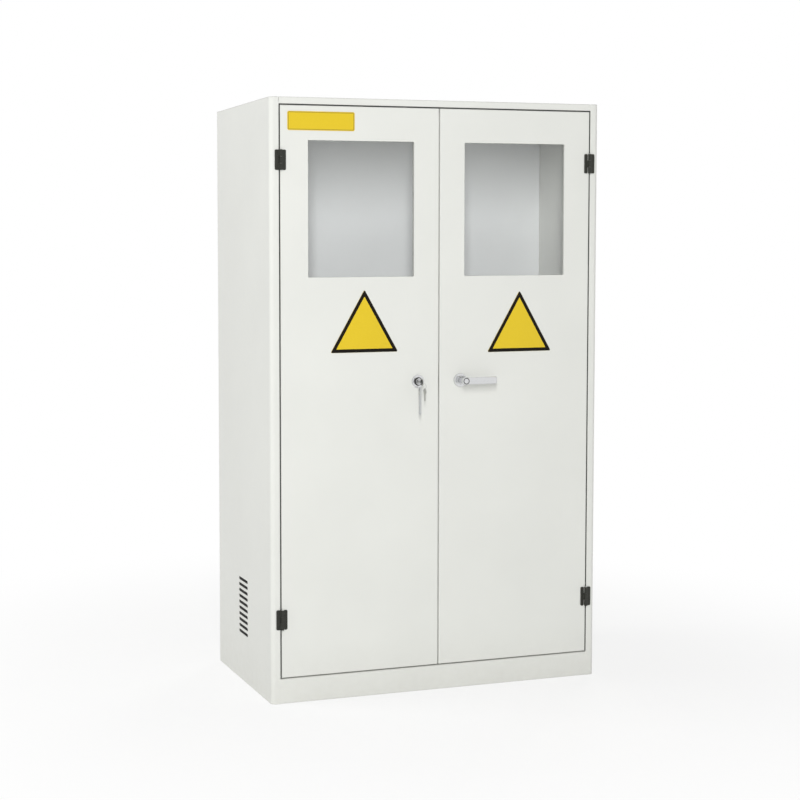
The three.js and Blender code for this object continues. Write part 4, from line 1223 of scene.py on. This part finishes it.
class CABINET_OT_stage(bpy.types.Operator):
    """Sets the floor, the lights, the world and the camera"""

    bl_idname = "cabinet.stage"
    bl_label = "Stage"

    def execute(self, context):
        stage = context.scene.cabinet_stage
        self.add_floor(context)
        self.add_world(context, stage)
        for name, place, target, size, power in LAMPS:
            self.add_lamp(context, name, place, target, size, getattr(stage, power))
        self.add_camera(context)
        context.scene.view_settings.view_transform = "Standard"
        return {"FINISHED"}

    def add_floor(self, context):
        """A pale studio floor that runs out to the horizon."""
        bm = bmesh.new()
        bmesh.ops.create_circle(bm, cap_ends=True, segments=96, radius=FLOOR_RADIUS)
        mesh = bpy.data.meshes.new("floor")
        bm.to_mesh(mesh)
        bm.free()
        floor = bpy.data.objects.new("floor", mesh)
        context.scene.collection.objects.link(floor)
        # The paint clouds over about 150 mm.
        material, add, coords, _, shaded = new_mottled(
            "pale_studio_floor", 150 * MM, 3.0, linear("#f6f6f5"), linear("#fafaf9"),
        )
        surface = add("ShaderNodeBsdfPrincipled", {
            "Base Color": shaded, "Roughness": 0.9, "Specular IOR Level": 0.0,
        })
        # Close to the cabinet the floor is lit and keeps its shadow. Further out it is plain white.
        distance = add("ShaderNodeVectorMath", {0: coords}, operation="LENGTH")
        away = add("ShaderNodeMapRange", {
            "Value": distance.outputs["Value"], "From Min": 0.7, "From Max": 2.4, "To Min": 0.7,
        }, interpolation_type="SMOOTHSTEP")
        share = add("ShaderNodeMath", {0: seen_rays(add), 1: away}, operation="MULTIPLY")
        white = add("ShaderNodeEmission", {"Color": (1, 1, 1, 1), "Strength": 1.0})
        show(material, "ShaderNodeMixShader", {"Fac": share, 1: surface, 2: white})
        mesh.materials.append(material)

    def add_world(self, context, stage):
        """White where it is seen or reflected, and softer as a lamp."""
        world = bpy.data.worlds.new("pale_surroundings")
        world.use_nodes = True
        context.scene.world = world
        world.node_tree.nodes.clear()
        add = partial(add_node, world.node_tree)
        strength = add("ShaderNodeMapRange", {
            "Value": seen_rays(add), "To Min": stage.ambient, "To Max": 1.0,
        })
        background = add("ShaderNodeBackground", {"Color": (1, 1, 1, 1), "Strength": strength})
        add("ShaderNodeOutputWorld", {"Surface": background})

    def add_lamp(self, context, name, place, target, size, power):
        """A soft lamp aimed at a point. Panes and metal mirror the surroundings, not the lamp."""
        data = bpy.data.lights.new(name, "AREA")
        data.shape = "RECTANGLE"
        data.size, data.size_y = size
        data.energy = power
        lamp = bpy.data.objects.new(name, data)
        lamp.visible_glossy = False
        lamp.visible_transmission = False
        context.scene.collection.objects.link(lamp)
        turned = (Vector(target) - Vector(place)).to_track_quat("-Z", "Y").to_matrix().to_4x4()
        lamp.matrix_world = Matrix.Translation(place) @ turned

    def add_camera(self, context):
        """The photograph's viewing angle. The frame's middle lies off the lens axis."""
        data = bpy.data.cameras.new("camera")
        data.sensor_width = 36
        data.sensor_fit = "HORIZONTAL"
        data.lens = CAMERA_FOCUS / FRAME_SIZE * data.sensor_width
        data.shift_x = (FRAME_SIZE / 2 - MIDDLE_X) / FRAME_SIZE
        data.shift_y = (MIDDLE_Y - FRAME_SIZE / 2) / FRAME_SIZE
        data.clip_end = FARTHEST_SEEN
        camera = bpy.data.objects.new("camera", data)
        context.scene.collection.objects.link(camera)
        camera.matrix_world = Matrix.Translation(CAMERA_PLACE)
        for degrees, axis in ((-CAMERA_TURN, "Z"), (90 + CAMERA_TILT, "X"), (CAMERA_ROLL, "Z")):
            camera.matrix_world @= Matrix.Rotation(math.radians(degrees), 4, axis)
        context.scene.camera = camera


# Panel and registration

GROUPS = {
    "cabinet_finish": CabinetFinish,
    "cabinet_signs": CabinetSigns,
    "cabinet_hardware": CabinetHardware,
    "cabinet_stage": CabinetStage,
}

OPERATORS = (
    CABINET_OT_finishes,
    CABINET_OT_carcass_details,
    CABINET_OT_sign_plates,
    CABINET_OT_lever_set,
    CABINET_OT_lock_set,
    CABINET_OT_exhaust_collar,
    CABINET_OT_fixings,
    CABINET_OT_stage,
)


class CABINET_PT_panel(bpy.types.Panel):
    """Lists the cabinet's sizes, colours and steps"""

    bl_idname = "CABINET_PT_panel"
    bl_label = "Gas Cylinder Cabinet"
    bl_space_type = "VIEW_3D"
    bl_region_type = "UI"
    bl_category = "Cabinet"

    def draw(self, context):
        layout = self.layout
        for group in GROUPS:
            settings = getattr(context.scene, group)
            box = layout.box()
            for field in settings.bl_rna.properties:
                if not field.is_readonly and field.identifier not in ("name", "rna_type"):
                    box.prop(settings, field.identifier)
        for operator in OPERATORS:
            layout.operator(operator.bl_idname)


CLASSES = (*GROUPS.values(), *OPERATORS, CABINET_PT_panel)


def register():
    for entry in CLASSES:
        bpy.utils.register_class(entry)
    for name, group in GROUPS.items():
        setattr(bpy.types.Scene, name, PointerProperty(type=group))


def unregister():
    for name in GROUPS:
        delattr(bpy.types.Scene, name)
    for entry in reversed(CLASSES):
        bpy.utils.unregister_class(entry)


def main():
    register()
    bpy.ops.cabinet.finishes()
    bpy.ops.cabinet.carcass_details()
    bpy.ops.cabinet.sign_plates()
    bpy.ops.cabinet.lever_set()
    bpy.ops.cabinet.lock_set()
    bpy.ops.cabinet.exhaust_collar()
    bpy.ops.cabinet.fixings()
    bpy.ops.cabinet.stage()


if __name__ == "__main__":
    main()
